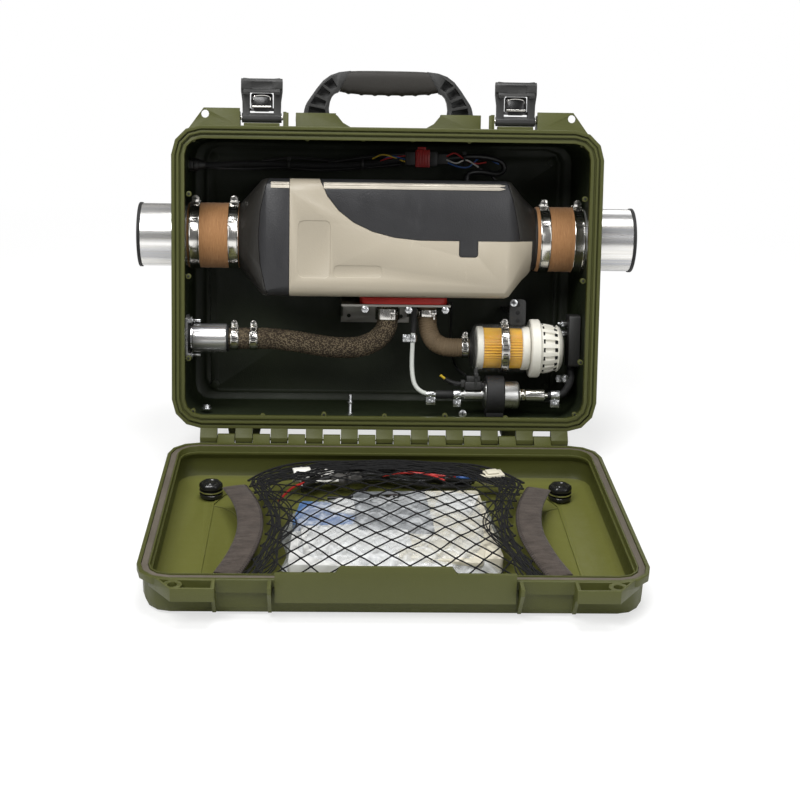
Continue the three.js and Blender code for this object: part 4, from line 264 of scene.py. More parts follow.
def olive():
    """Moulded olive plastic. It darkens inside the deep half, where little light falls."""
    n = Nodes("olive")
    cloud = n.noise(7, 4, 0.6)
    scuff = n.noise(55, 5, 0.7, n.place((1, 1, 0.25)))
    tone = n.mix(cloud, (0.054, 0.058, 0.0125), (0.072, 0.077, 0.017))
    tone = n.mix(n.span(scuff, 0.6, 0.78, 0, 0.3), tone, (0.12, 0.125, 0.045))
    tone = n.mix(n.product(n.wear(), 0.35), tone, (0.15, 0.155, 0.06))
    # Depth below the deep half's rim plane, and whether the surface faces its middle.
    where = n.place()
    x, y, z = (n.axis(where, a) for a in "XYZ")
    depth = n.sum(n.product(n.math("SUBTRACT", y, 0.1877), 0.978),
        n.product(n.math("SUBTRACT", z, 0.043), -0.208))
    facing = n.place(source="Normal")
    nx, ny, nz = (n.axis(facing, a) for a in "XYZ")
    toward = n.sum(n.product(nx, x), n.sum(n.product(ny, n.math("SUBTRACT", y, 0.285)),
        n.product(nz, n.math("SUBTRACT", z, 0.21))))
    inside = n.product(n.span(depth, 0.010, 0.05), n.span(toward, 0.01, -0.01))
    tone = n.mix(n.product(inside, 0.88), tone, (0.008, 0.013, 0.008))
    # Painted light: the shallow half's floor is painted paler where it faces up, standing in for
    # the light from above.
    floor = n.product(n.span(z, 0.012, 0.006), n.span(nz, 0.5, 0.9))
    tone = n.mix(floor, tone, (0.118, 0.122, 0.026))
    speck = n.noise(1100, 2, 0.5)
    pits = n.cells(770)
    relief = n.sum(speck, n.product(pits, 0.6))
    return n.set(color=tone, rough=n.span(scuff, 0.35, 0.75, 0.42, 0.56), specular=0.3,
        normal=n.bump(relief, 0.5, 0.0003))


def tube_steel():
    """Bright rolled tube with long pale and dark streaks, and warm patches."""
    n = Nodes("tube_steel")
    streak = n.noise(70, 2, 0.5, n.place((0.03, 1, 1)))
    fine = n.noise(420, 3, 0.6, n.place((0.02, 1, 1)))
    tone = n.mix(n.span(streak, 0.4, 0.6), (0.46, 0.47, 0.50), (0.93, 0.92, 0.90))
    tone = n.mix(n.span(fine, 0.35, 0.7, 0, 0.4), tone, (0.60, 0.55, 0.46))
    return n.set(color=tone, metal=0.8, rough=n.span(streak, 0.35, 0.65, 0.3, 0.18),
        normal=n.bump(fine, 0.1, 0.0002))


def tan_sleeve():
    """Wrapped insulating paper: fine lines round the sleeve, fibres and pressed edges."""
    n = Nodes("tan_sleeve")
    fine = n.noise(300, 4, 0.7, n.place((6, 0.3, 0.3)))
    broad = n.noise(40, 4, 0.6, n.place((6, 0.4, 0.4)))
    fibre = n.noise(700, 3, 0.7, n.place((1, 0.25, 0.25)))
    tone = n.mix(n.span(fine, 0.3, 0.7), (0.27, 0.125, 0.045), (0.46, 0.24, 0.10))
    tone = n.mix(n.span(broad, 0.35, 0.7, 0, 0.55), tone, (0.34, 0.165, 0.065))
    tone = n.mix(n.span(fibre, 0.6, 0.8, 0, 0.4), tone, (0.58, 0.36, 0.18))
    height = n.sum(fine, n.product(fibre, 0.5))
    return n.set(color=tone, rough=0.72, specular=0.3, sheen=0.15,
        normal=n.bump(height, 0.6, 0.0005))


def filter_paper():
    n = Nodes("filter_paper")
    fibre = n.noise(1200, 4, 0.7)
    soot = n.noise(26, 4, 0.6)
    tone = n.mix(n.span(fibre, 0.3, 0.7), (0.60, 0.31, 0.006), (0.86, 0.50, 0.02))
    tone = n.mix(n.span(soot, 0.5, 0.8, 0, 0.4), tone, (0.50, 0.24, 0.03))
    return n.set(color=tone, rough=0.65, specular=0.3, inner=0.1,
        normal=n.bump(fibre, 0.4, 0.0003))


def clear_plastic():
    n = Nodes("clear_plastic")
    haze = n.noise(35, 4, 0.6)
    tone = n.mix(haze, (0.86, 0.87, 0.83), (0.93, 0.93, 0.90))
    return n.set(color=tone, rough=n.span(haze, 0.3, 0.7, 0.06, 0.2), ior=1.46,
        alpha=n.span(haze, 0.3, 0.7, 0.015, 0.05), specular=0.6,
        normal=n.bump(n.noise(60, 3), 0.15, 0.0005))


def bag_film():
    """Thin crinkled film, clearest where it lies flat."""
    n = Nodes("bag_film")
    fold = n.noise(24, 6, 0.72, distortion=0.6)
    sharp = n.cells(38, "DISTANCE_TO_EDGE")
    crease = n.span(sharp, 0.0, 0.16, 1, 0)
    tone = n.mix(fold, (0.72, 0.76, 0.80), (0.94, 0.95, 0.95))
    alpha = n.sum(n.span(fold, 0.35, 0.75, 0.16, 0.42), n.product(crease, 0.22), clamp=True)
    height = n.sum(fold, n.product(crease, 0.5))
    return n.set(color=tone, rough=0.16, alpha=alpha, specular=0.8,
        normal=n.bump(height, 0.8, 0.003))


def suede():
    """Brushed suede strip over foam."""
    n = Nodes("suede")
    nap = n.noise(1500, 4, 0.75)
    brushed = n.noise(70, 5, 0.7, n.place((1, 2.4, 1)))
    tone = n.mix(n.span(brushed, 0.3, 0.72), (0.036, 0.028, 0.023), (0.092, 0.074, 0.062))
    tone = n.mix(n.span(nap, 0.55, 0.8, 0, 0.5), tone, (0.15, 0.125, 0.105))
    return n.set(color=tone, rough=0.92, specular=0.12, sheen=0.12, sheen_rough=0.5,
        normal=n.bump(n.sum(nap, brushed), 0.7, 0.0006))


def net_cord():
    n = Nodes("net_cord")
    strand = n.noise(1900, 3, 0.6)
    tone = n.mix(n.span(strand, 0.35, 0.7), (0.004, 0.004, 0.004), (0.016, 0.016, 0.017))
    return n.set(color=tone, rough=0.75, specular=0.2, sheen=0.02,
        normal=n.bump(strand, 0.6, 0.0004))


def wire(name, color):
    n = Nodes(name)
    mark = n.noise(120, 3, 0.5)
    tone = n.mix(n.span(mark, 0.3, 0.8, 0, 0.25), color, tuple(c * 0.55 for c in color))
    return n.set(color=tone, rough=n.span(mark, 0.3, 0.7, 0.32, 0.48), specular=0.45,
        normal=n.bump(n.noise(500, 2), 0.15, 0.0003))


MATERIALS = (
    (moulded, "black_plastic", (0.013, 0.013, 0.012), 0.5, 0.45, 1000, 0.25),
    (moulded, "dark_plastic", (0.022, 0.022, 0.024), 0.42, 0.5, 800),
    (moulded, "cream_plastic", (0.42, 0.372, 0.288), 0.42, 0.3, 800, 0.0, 0.05),
    (moulded, "off_white", (0.76, 0.74, 0.66), 0.38, 0.15, 700, 0.0, 0.04),
    (rubber, "black_rubber", (0.011, 0.011, 0.011), 0.62),
    (rubber, "gasket", (0.10, 0.085, 0.065), 0.8),
    (rubber, "red_rubber", (0.36, 0.016, 0.010), 0.5),
    (moulded, "red_plastic", (0.40, 0.012, 0.010), 0.35, 0.1),
    (moulded, "white_plastic", (0.72, 0.71, 0.66), 0.35, 0.1, 900, 0.0, 0.05),
    (metal, "steel", (0.74, 0.72, 0.68), 0.15, (30, 1, 1), 0.1),
    (metal, "zinc_bright", (0.70, 0.71, 0.72), 0.24, (1, 1, 1), 0.1),
    (metal, "pump_steel", (0.56, 0.56, 0.55), 0.3, (1, 30, 30), 0.15, 300),
    (metal, "champagne", (0.36, 0.33, 0.28), 0.48, (60, 1, 1), 0.1, 300, 0.1),
    (rubber, "grip_rubber", (0.016, 0.014, 0.011), 0.6, 0.9, 1300),
    (rubber, "boot_grey", (0.055, 0.052, 0.048), 0.6),
    # Near-black for slots, holes and screw recesses: painted shade where these are not cut, or are
    # cut shallow.
    (rubber, "slot_dark", (0.006, 0.006, 0.006), 0.6),
    (rubber, "webbing", (0.010, 0.010, 0.011), 0.85, 0.8, 700),
    (rubber, "stitch", (0.045, 0.036, 0.032), 0.8, 0.5, 1500),
    (moulded, "gloss_black", (0.009, 0.009, 0.009), 0.22, 0.08, 400),
    (moulded, "hood_plastic", (0.017, 0.0155, 0.013), 0.46, 0.5, 900, 0.2),
    (moulded, "fuel_white", (0.62, 0.64, 0.60), 0.28, 0.05, 300, 0.0, 0.08),
    (moulded, "paper_white", (0.70, 0.70, 0.68), 0.6, 0.2, 300, 0.0, 0.10),
    (moulded, "paper_cream", (0.66, 0.62, 0.50), 0.5, 0.2, 300, 0.0, 0.10),
    (moulded, "packet_blue", (0.10, 0.20, 0.42), 0.45, 0.2, 300, 0.0, 0.25),
    (moulded, "packet_grey", (0.17, 0.18, 0.19), 0.45, 0.2, 300, 0.0, 0.25),
    (metal, "zinc_plate", (0.36, 0.35, 0.32), 0.38, (1, 1, 1), 0.1),
    (metal, "aluminium", (0.55, 0.55, 0.54), 0.32, (20, 1, 1), 0.1),
    (rubber, "brown_hose", (0.13, 0.092, 0.052), 0.75, 0.7, 900),
    (woven, "braid", (0.016, 0.011, 0.007), (0.085, 0.062, 0.040), 60, 0.0023, 0.75, 0.8,
     (0.42, 0.33, 0.20), 0.62),
    (woven, "cord_braid", (0.006, 0.006, 0.006), (0.030, 0.030, 0.032), 12, 0.003, 0.75, 0.5),
    (wire, "wire_black", (0.012, 0.012, 0.012)),
    (wire, "wire_red", (0.42, 0.015, 0.012)),
    (wire, "wire_white", (0.62, 0.61, 0.57)),
    (wire, "wire_blue", (0.03, 0.10, 0.32)),
    (wire, "wire_yellow", (0.60, 0.42, 0.03)))
M = {make.__name__: make() for make in (olive, tube_steel, tan_sleeve, filter_paper,
    clear_plastic, bag_film, suede, net_cord)}
for make, name, *values in MATERIALS:
    M[name] = make(name, *values)


# ---------------------------------------------------------------- shapes in mesh code

class Shape:
    """Points and faces in millimetres, with a UV for each corner and a material number."""

    def __init__(self):
        self.points, self.faces, self.corners, self.kinds = [], [], [], []

    def add(self, points, faces, corners=None, kind=0, kinds=None):
        first = len(self.points)
        self.points.extend(Vector(p) for p in points)
        self.faces.extend([first + k for k in face] for face in faces)
        self.corners.extend(corners or [[(0.0, 0.0)] * len(face) for face in faces])
        self.kinds.extend(kinds or [kind] * len(faces))
        return self

    def merge(self, other, move):
        first = len(self.points)
        self.points.extend(move @ p for p in other.points)
        self.faces.extend([first + k for k in face] for face in other.faces)
        self.corners.extend(other.corners)
        self.kinds.extend(other.kinds)
        return self


def at(x, y, z, turn=0, axis="Z"):
    return Matrix.Translation((x, y, z)) @ Matrix.Rotation(radians(turn), 4, axis)


def wall(rings, around, closed=False):
    """Faces between rings of points that follow one another."""
    faces = []
    for i in range(rings if closed else rings - 1):
        j = (i + 1) % rings
        for k in range(around):
            after = (k + 1) % around
            faces.append([i * around + k, i * around + after, j * around + after, j * around + k])
    return faces


def end_faces(rings, around):
    return [list(range(around)), [(rings - 1) * around + k for k in range(around)]]


def wall_corners(levels, around):
    """UVs for wall(): once round in U, and from level to level in V."""
    return [[(k / around, low), ((k + 1) / around, low), ((k + 1) / around, high),
        (k / around, high)] for low, high in levels for k in range(around)]


def frames_along(path):
    """Directions across a path that turn as little as they can."""
    ahead = []
    for i in range(len(path)):
        step = path[min(i + 1, len(path) - 1)] - path[max(i - 1, 0)]
        ahead.append(step.normalized())
    across = ahead[0].orthogonal().normalized()
    found = []
    for direction in ahead:
        across = (across - direction * across.dot(direction)).normalized()
        found.append((across, direction.cross(across)))
    return found


def tube(path, radius, sides=20, shape=None):
    """A round tube along a path. radius is a number or a function of the length so far."""
    shape = shape or Shape()
    path = [Vector(p) for p in path]
    width = radius if callable(radius) else (lambda _: radius)
    points, along = [], [0.0]
    for a, b in zip(path, path[1:]):
        along.append(along[-1] + (b - a).length)
    for centre, (u, v), so_far in zip(path, frames_along(path), along):
        r = width(so_far)
        for k in range(sides):
            angle = 2 * pi * k / sides
            points.append(centre + (u * cos(angle) + v * sin(angle)) * r)
    first, last = end_faces(len(path), sides)
    levels = [(a / 1000, b / 1000) for a, b in zip(along, along[1:])]
    return shape.add(points, wall(len(path), sides) + [first[::-1], last],
        wall_corners(levels, sides) + [[(0.0, 0.0)] * sides] * 2)


def smooth_path(points, step=3.0):
    """Evenly spaced points on a smooth curve through the given ones."""
    points = [Vector(p) for p in points]
    ends = [points[0] * 2 - points[1], *points, points[-1] * 2 - points[-2]]
    fine = []
    for p0, p1, p2, p3 in zip(ends, ends[1:], ends[2:], ends[3:]):
        for k in range(24):
            t = k / 24
            fine.append(0.5 * (p1 * 2 + (p2 - p0) * t + (p0 * 2 - p1 * 5 + p2 * 4 - p3) * t * t +
                (p1 * 3 - p0 - p2 * 3 + p3) * t ** 3))
    fine.append(points[-1])
    spread = [0.0]
    for a, b in zip(fine, fine[1:]):
        spread.append(spread[-1] + (b - a).length)
    count = max(2, round(spread[-1] / step) + 1)
    wanted = np.linspace(0, spread[-1], count)
    table = np.array([tuple(p) for p in fine])
    return [Vector([float(np.interp(w, spread, table[:, k])) for k in range(3)]) for w in wanted]


def lathe(profile, middle, along="x", segments=64, shape=None, closed=False):
    """A turned form. The profile is (distance along the axis, radius)."""
    shape = shape or Shape()
    y, z = middle
    points = []
    for distance, radius in profile:
        for k in range(segments):
            angle = 2 * pi * k / segments
            a, b = radius * cos(angle), radius * sin(angle)
            points.append({"x": (distance, y + a, z + b), "y": (z + b, distance, y + a)}[along])
    travelled = [0.0]
    for (d0, r0), (d1, r1) in zip(profile, profile[1:]):
        travelled.append(travelled[-1] + hypot(d1 - d0, r1 - r0))
    count = len(profile)
    levels = [(a / 1000, b / 1000) for a, b in zip(travelled, travelled[1:])]
    if closed:
        levels.append((travelled[-1] / 1000, (travelled[-1] + 1) / 1000))
    faces, corners = wall(count, segments, closed), wall_corners(levels, segments)
    if not closed:
        for i, order in ((0, -1), (count - 1, 1)):
            if profile[i][1] > 0.001:
                faces.append([i * segments + k for k in range(segments)][::order])
                corners.append([(0.0, 0.0)] * segments)
    return shape.add(points, faces, corners)


def block(low, high, kind=0, shape=None):
    shape = shape or Shape()
    (x0, y0, z0), (x1, y1, z1) = low, high
    points = [(x, y, z) for z in (z0, z1) for x, y in ((x0, y0), (x1, y0), (x1, y1), (x0, y1))]
    faces = [[3, 2, 1, 0], [4, 5, 6, 7], [0, 1, 5, 4], [1, 2, 6, 5], [2, 3, 7, 6], [3, 0, 4, 7]]
    return shape.add(points, faces, kind=kind)


def slab(low, high, kind, shape):
    """Two like outlines, joined round their edges."""
    n = len(low)
    faces = [list(range(n))[::-1], [n + k for k in range(n)]]
    faces += [[k, (k + 1) % n, n + (k + 1) % n, n + k] for k in range(n)]
    return (shape or Shape()).add(low + high, faces, kind=kind)


def plate(outline, z0, z1, kind=0, shape=None):
    """A flat outline in x and y, thickened from z0 to z1."""
    return slab([(x, y, z0) for x, y in outline], [(x, y, z1) for x, y in outline], kind, shape)


def along_x(outline, x0, x1, kind=0, shape=None):
    """An outline in y and z, thickened from x0 to x1."""
    return slab([(x0, y, z) for y, z in outline], [(x1, y, z) for y, z in outline], kind, shape)


def rounded(x0, x1, y0, y1, r):
    outline, steps = [], 6
    for cx, cy, start in ((x1 - r, y1 - r, 0), (x0 + r, y1 - r, 90), (x0 + r, y0 + r, 180),
            (x1 - r, y0 + r, 270)):
        for k in range(steps + 1):
            a = radians(start + 90 * k / steps)
            outline.append((cx + r * cos(a), cy + r * sin(a)))
    return outline


# Groups that smooth a surface everywhere but at edges sharper than an angle.
smooth_groups = {}


def smooth_group(degrees):
    if degrees in smooth_groups:
        return smooth_groups[degrees]
    tree = bpy.data.node_groups.new(f"smooth_{degrees}", "GeometryNodeTree")
    tree.interface.new_socket("Geometry", in_out="INPUT", socket_type="NodeSocketGeometry")
    tree.interface.new_socket("Geometry", in_out="OUTPUT", socket_type="NodeSocketGeometry")
    start, end = tree.nodes.new("NodeGroupInput"), tree.nodes.new("NodeGroupOutput")
    faces = tree.nodes.new("GeometryNodeSetShadeSmooth")
    edges = tree.nodes.new("GeometryNodeSetShadeSmooth")
    edges.domain = "EDGE"
    edges.inputs["Shade Smooth"].default_value = False
    angle = tree.nodes.new("GeometryNodeInputMeshEdgeAngle")
    test = tree.nodes.new("FunctionNodeCompare")
    test.inputs[1].default_value = radians(degrees)
    tree.links.new(angle.outputs[0], test.inputs[0])
    tree.links.new(start.outputs[0], faces.inputs[0])
    tree.links.new(faces.outputs[0], edges.inputs[0])
    tree.links.new(test.outputs[0], edges.inputs["Selection"])
    tree.links.new(edges.outputs[0], end.inputs[0])
    smooth_groups[degrees] = tree
    return tree


def bevel(piece, width):
    made = piece.modifiers.new("edges", "BEVEL")
    made.width = width / 1000
    made.segments = 2
    made.limit_method = "ANGLE"
    made.angle_limit = radians(32)
    made.use_clamp_overlap = True


def smooth(piece, degrees=34):
    made = piece.modifiers.new("smooth", "NODES")
    made.node_group = smooth_group(degrees)


def put(name, shape, materials, replaces=(), width=0.0, degrees=34, body="base", where=BASE):
    """Makes a piece of the object from a shape."""
    mesh = bpy.data.meshes.new(name)
    mesh.from_pydata([tuple(where @ p) for p in shape.points], [], shape.faces)
    layer = mesh.uv_layers.new(name="UVMap")
    layer.data.foreach_set("uv", [c for corners in shape.corners for uv in corners for c in uv])
    mesh.polygons.foreach_set("material_index", shape.kinds)
    materials = [materials] if isinstance(materials, str) else materials
    for material in materials:
        mesh.materials.append(M[material])
    mesh.validate()
    solid = bmesh.new()
    solid.from_mesh(mesh)
    bmesh.ops.recalc_face_normals(solid, faces=solid.faces)
    solid.to_mesh(mesh)
    solid.free()
    mesh.update()
    piece = bpy.data.objects.new(name, mesh)
    bpy.context.scene.collection.objects.link(piece)
    if width:
        bevel(piece, width)
    smooth(piece, degrees)
    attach(piece, body)
    if replaces:
        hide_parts(*replaces)
    return piece


def stow(name, shape, materials, replaces=(), width=0.0, degrees=34):
    """Makes a piece that lies in the tray and rides on the lid."""
    return put(name, shape, materials, replaces, width, degrees, "lid", TRAY)


def dress(names, material, width):
    """Gives CAD nodes their material, softened edges and smooth shading."""
    for name in names.split():
        piece = nodes[name]
        for material_slot in piece.material_slots:
            material_slot.material = M[material]
        weld = piece.modifiers.new("weld", "WELD")
        weld.merge_threshold = 0.00001
        flat = piece.modifiers.new("flat", "DECIMATE")
        flat.decimate_type = "DISSOLVE"
        flat.angle_limit = radians(0.6)
        if width:
            bevel(piece, width)
        smooth(piece)


for names, material, width in (
        ("base_shell lid_shell", "olive", 0.7),
        ("latch_arm_left latch_arm_right", "black_plastic", 0.7),
        ("handle_frame", "black_plastic", 0.8),
        ("inlet_hood outlet_hood", "hood_plastic", 0.8),
        ("inlet_casing upper_casing", "dark_plastic", 0.7),
        ("lower_casing", "cream_plastic", 0.7),
        ("lid_gasket", "gasket", 0),
        ("hinge_pin", "steel", 0.3),
        ("latch_lever_left latch_lever_right", "gloss_black", 0.3),
        ("base_gasket", "red_rubber", 0.8),
        ("mount_bracket", "zinc_plate", 0.4),
        ("exhaust_outlet", "tube_steel", 0.4),
        ("heat_exchanger combustion_wheel", "aluminium", 0),
        ("burner_tube glow_plug", "steel", 0),
        ("fan_motor", "zinc_plate", 0.4),
        ("air_impeller control_board", "black_plastic", 0),
        ("service_block", "black_plastic", 0.8)):
    dress(names, material, width)


# ---------------------------------------------------------------- turned and clamped metal

def circle(radius, sides, middle=(0, 0), turn=0.0):
    return [(middle[0] + radius * cos(turn + 2 * pi * k / sides),
        middle[1] + radius * sin(turn + 2 * pi * k / sides)) for k in range(sides)]


def screw_head(radius, z0, z1, middle=(0, 0), shape=None):
    """A cross-recess head that faces +z."""
    shape = shape or Shape()
    x, y = middle
    plate(circle(radius, 24, middle), z0, z1 - radius * 0.18, 0, shape)
    plate(circle(radius * 0.86, 24, middle), z1 - radius * 0.18, z1, 0, shape)
    # A dark cross stands in for the recess, which is not cut: painted shade.
    for a, b in ((0.62, 0.13), (0.13, 0.62)):
        block((x - radius * a, y - radius * b, z1 - 0.1),
            (x + radius * a, y + radius * b, z1 + 0.06), 1, shape)
    return shape


def worm_clamp(name, x, axis, inner, width, replaces=(), lift=5, slots=(-62, 62), rise=4.2):
    """Worm-drive clamp: rolled band, slots, humped housing and a screw towards the viewer."""
    h, r, s = width / 2, inner, width / 12
    shape = Shape()
    lathe([(-h, r), (-h, r + 1.15), (-h + 0.7, r + 1.35), (-h + 1.5, r + 0.8), (h - 1.5, r + 0.8),
        (h - 0.7, r + 1.35), (h, r + 1.15), (h, r)], (0, 0), "x", 72, shape=shape, closed=True)
    top = r + 0.8
    # Dark strips on the band stand in for its slots: painted shade.
    for step in range(int(slots[0] / 6), int(slots[1] / 6) + 1):
        turned = Matrix.Rotation(radians(step * 6 * 40 / r if r > 30 else step * 10), 4, "X")
        shape.merge(block((-width * 0.26, top - 0.1, -0.6), (width * 0.26, top + 0.12, 0.6), 1),
            turned)
    centre = top + rise * s
    hump = [(-4.8 * s, top - 0.5), (4.8 * s, top - 0.5)]
    hump += [(4.2 * s * cos(radians(a)), centre + 3.9 * s * sin(radians(a))) for a in
        range(-15, 196, 15)]
    plate(hump, -5.5 * s, 5.5 * s, 0, shape)
    for end in (-1, 1):
        z = sorted((end * 5.4 * s, end * 7.4 * s))
        block((-5.4 * s, top - 0.2, z[0]), (5.4 * s, top + 1.0 * s, z[1]), 0, shape)
    plate(circle(2.6 * s, 16, (0, centre)), -6.8 * s, 7 * s, 0, shape)
    plate(circle(4.5 * s, 28, (0, centre)), 6.6 * s, 7.6 * s, 0, shape)
    plate(circle(4.1 * s, 6, (0, centre), 0.26), 7.6 * s, 10.2 * s, 0, shape)
    # A dark cross on the screw's end stands in for its recess: painted shade.
    for a, b in ((2.6, 0.5), (0.5, 2.6)):
        block((-a * s, centre - b * s, 10.15 * s), (a * s, centre + b * s, 10.3 * s), 1, shape)
    made = Shape().merge(shape, at(x, *axis, lift, "X"))
    return put(name, made, ["steel", "slot_dark"], replaces, 0.25)


def ear_clip(name, path_point, radius, width, axis="x", drop=10):
    """Small fuel-hose clip: a band with two ears drawn together by a screw."""
    shape = Shape()
    h, r = width / 2, radius
    profile = [(-h, r), (-h, r + 0.9), (h, r + 0.9), (h, r)]
    lathe(profile, (0, 0), "x", 32, shape=shape, closed=True)
    for side in (-1, 1):
        block((-h, -r - drop, side * 1.7 - 0.5), (h, -r + 0.4, side * 1.7 + 0.5), 0, shape)
    plate(circle(1.8, 12, (0, -r - drop * 0.6)), -4.4, 5.4, 0, shape)
    screw_head(3.0, 2.4, 5.2, (0, -r - drop * 0.6), shape)
    plate(circle(3.0, 6, (0, -r - drop * 0.6)), -4.6, -2.2, 0, shape)
    made = Shape().merge(shape, at(*path_point, -90 if axis == "y" else 0))
    return put(name, made, ["zinc_bright", "slot_dark"], width=0.2)


for side, tag, inner_x, end_x in ((-1, "left", 197.5, 293.5), (1, "right", 201.5, 297.5)):
    put(f"duct_{tag}", lathe([(side * a, r) for a, r in
        ((inner_x, DUCT_RADIUS), (inner_x + 2, DUCT_RADIUS), (238, DUCT_RADIUS),
        (288, DUCT_RADIUS), (end_x, DUCT_RADIUS), (end_x, 36.3), (inner_x, 36.3))], HEATER, "x",
        128, closed=True), "tube_steel", [f"wall_duct_{tag}"])
    put(f"duct_edge_{tag}", lathe([(side * (end_x + a), r) for a, r in
        ((-1.6, 37.55), (-1.6, 38.3), (-1.2, 38.7), (1.6, 38.7), (2.3, 38.2), (2.4, 37.2),
        (2.2, 36.0), (1.4, 35.7), (0.2, 35.9), (0.2, 37.55))], HEATER, "x", 96, closed=True),
        "black_rubber", [f"duct_trim_{tag}"])

random_lines = random.Random(4)
for tag, x0, x1 in (("left", -236.5, -175.3), ("right", 181.4, 238.0)):
    profile = [(x0, 37.65)]
    count = 46
    for k in range(count + 1):
        lift_out = 39.15 + random_lines.uniform(-0.16, 0.2)
        profile.append((x0 + (x1 - x0) * k / count, lift_out if 0 < k < count else 38.6))
    profile.append((x1, 37.65))
    put(f"sleeve_{tag}", lathe(profile, HEATER, "x", 96, closed=True), "tan_sleeve",
        [f"duct_sleeve_{tag}"])

for tag, x in (("left_outer", -228.0), ("left_inner", -181.9), ("right_inner", 191.0),
        ("right_outer", 231.5)):
    worm_clamp(f"clamp_{tag}", x, HEATER, 39.4, 12, [f"duct_clamp_{tag}"])
worm_clamp("clamp_exhaust_outer", -181, EXHAUST, 13.4, 9.6, ["exhaust_clamp_outer"], rise=7)
worm_clamp("clamp_exhaust_inner", -158, EXHAUST, 13.4, 9.6, ["exhaust_clamp_inner"], rise=7)
worm_clamp("clamp_intake", 98, FILTER, 11.9, 8.4, ["intake_clamp"], rise=6.5)

# Black sealing band and flange bolts of the exhaust outlet.
put("exhaust_seal", lathe([(-238.2, 14.7), (-238.2, 16.6), (-233.4, 16.6), (-233.4, 14.7)],
    EXHAUST, "x", 48, closed=True), "black_rubber")
socket_end = lathe([(-231.5, 14.7), (-230.5, 17.2), (-191.4, 17.4), (-190.6, 16.8),
    (-190.4, 14.7)], EXHAUST, "x", 72, closed=True)
put("exhaust_socket", socket_end, "tube_steel")
put("exhaust_edge", lathe([(-190.4, 13.6), (-190.4, 16.2), (-188.4, 16.2), (-187.8, 15.4),
    (-187.8, 13.6)], EXHAUST, "x", 56, closed=True), "black_rubber")
bolts = Shape()
for y in (90.5, 132.5):
    along_x(circle(5.6, 24, (y, -72)), -233.4, -232.2, 0, bolts)
    along_x(circle(2.2, 16, (y, -72)), -232, -222.5, 0, bolts)
put("exhaust_bolts", bolts, "zinc_bright", width=0.2)


# ---------------------------------------------------------------- hoses


exhaust_path = smooth_path([(-189, 111.5, -72), (-160, 111.5, -72), (-138, 111.5, -72),
    (-105, 108, -72), (-65, 102, -72), (-34, 102, -72), (-13, 109, -72), (0, 121, -72),
    (4, 134, -72), (4, 153.4, -72)], 1.6)
hose = put("exhaust_braid", tube(exhaust_path, lambda s: 12.75 + 0.28 * sin(s * 1.25), 48),
    "braid", ["exhaust_hose"])

intake_path = smooth_path([(52.5, 153.4, -72), (52.5, 136, -72), (55, 122, -70), (61, 111, -66),
    (71, 105.4, -63), (82, 104, -62), (92, 104, -62), (106.65, 104, -62)], 0.8)
put("intake_ribbed", tube(intake_path, lambda s: 11.2 + 0.3 * sin(s * 1.9), 40), "brown_hose",
    ["intake_hose"])

put("clamp_port_exhaust", Shape().merge(lathe([(-7, 13.3), (-7, 14.6), (-6, 14.9), (6, 14.9),
    (7, 14.6), (7, 13.3)], (0, 0), "x", 56, closed=True), at(4, 143.5, -72, 90)), "steel",
    width=0.2)
port_screws = Shape()
for x, y, z in ((10, 147, -56), (60, 147, -58)):
    here = at(x, y, z)
    port_screws.merge(block((-2.6, -2.6, -4), (2.6, 2.6, 1)), here)
    port_screws.merge(screw_head(2.7, 1, 3.4), here)
    port_screws.merge(lathe([(-9, 0.01), (-9, 1.3), (-2, 1.3), (-2, 0.01)], (0, 0), "y", 14), here)
put("port_clamp_screws", port_screws, ["steel", "slot_dark"], width=0.25)
put("clamp_port_intake", Shape().merge(lathe([(-4.5, 11.7), (-4.5, 12.7), (-3.8, 13.0),
    (3.8, 13.0), (4.5, 12.7), (4.5, 11.7)], (0, 0), "x", 48, closed=True),
    at(52.5, 145, -72, 90)), "steel", width=0.2)


# ---------------------------------------------------------------- air filter

def pleated(x0, x1, outer, depth, count):
    outline = []
    for k in range(count * 4):
        share = (k % 4) / 4
        r = outer - depth * (0.0 if share < 0.2 else 0.5 if share in (0.25, 0.75) else 1.0)
        angle = 2 * pi * k / (count * 4)
        outline.append((FILTER[0] + r * cos(angle), FILTER[1] + r * sin(angle)))
    return along_x(outline, x0, x1)


canister = lathe([(107, 20), (107, 24.5), (109, 27.6), (113, 29.4), (175.6, 29.4), (175.6, 27.7),
    (113.4, 27.7), (110.6, 26), (109, 20)], FILTER, "x", 80, closed=True)
put("filter_glass", canister, "clear_plastic", ["filter_canister"])
neck = lathe([(92, 8.2), (92, 10.3), (103.5, 10.3), (104.5, 17), (107, 23.5), (107, 8.2)], FILTER,
    "x", 48, closed=True)
lathe([(103.2, 10.6), (103.2, 13.6), (106.6, 14.4), (106.8, 10.6)], FILTER, "x", 48, shape=neck,
    closed=True)
put("filter_neck", neck, "black_plastic", width=0.3)
element = pleated(119.5, 166, 24.4, 2.2, 44)
put("filter_pleats", element, "filter_paper", ["filter_element"], degrees=20)
ends = lathe([(111.5, 10), (111.5, 24.8), (112.5, 26.2), (118.6, 26.2), (119.6, 25), (119.6, 10)],
    FILTER, "x", 64, closed=True)
lathe([(166, 10), (166, 25.2), (167, 26.4), (174.6, 26.4), (175.5, 25), (175.5, 10)], FILTER, "x",
    64, shape=ends, closed=True)
put("filter_ends", ends, "off_white", width=0.3)


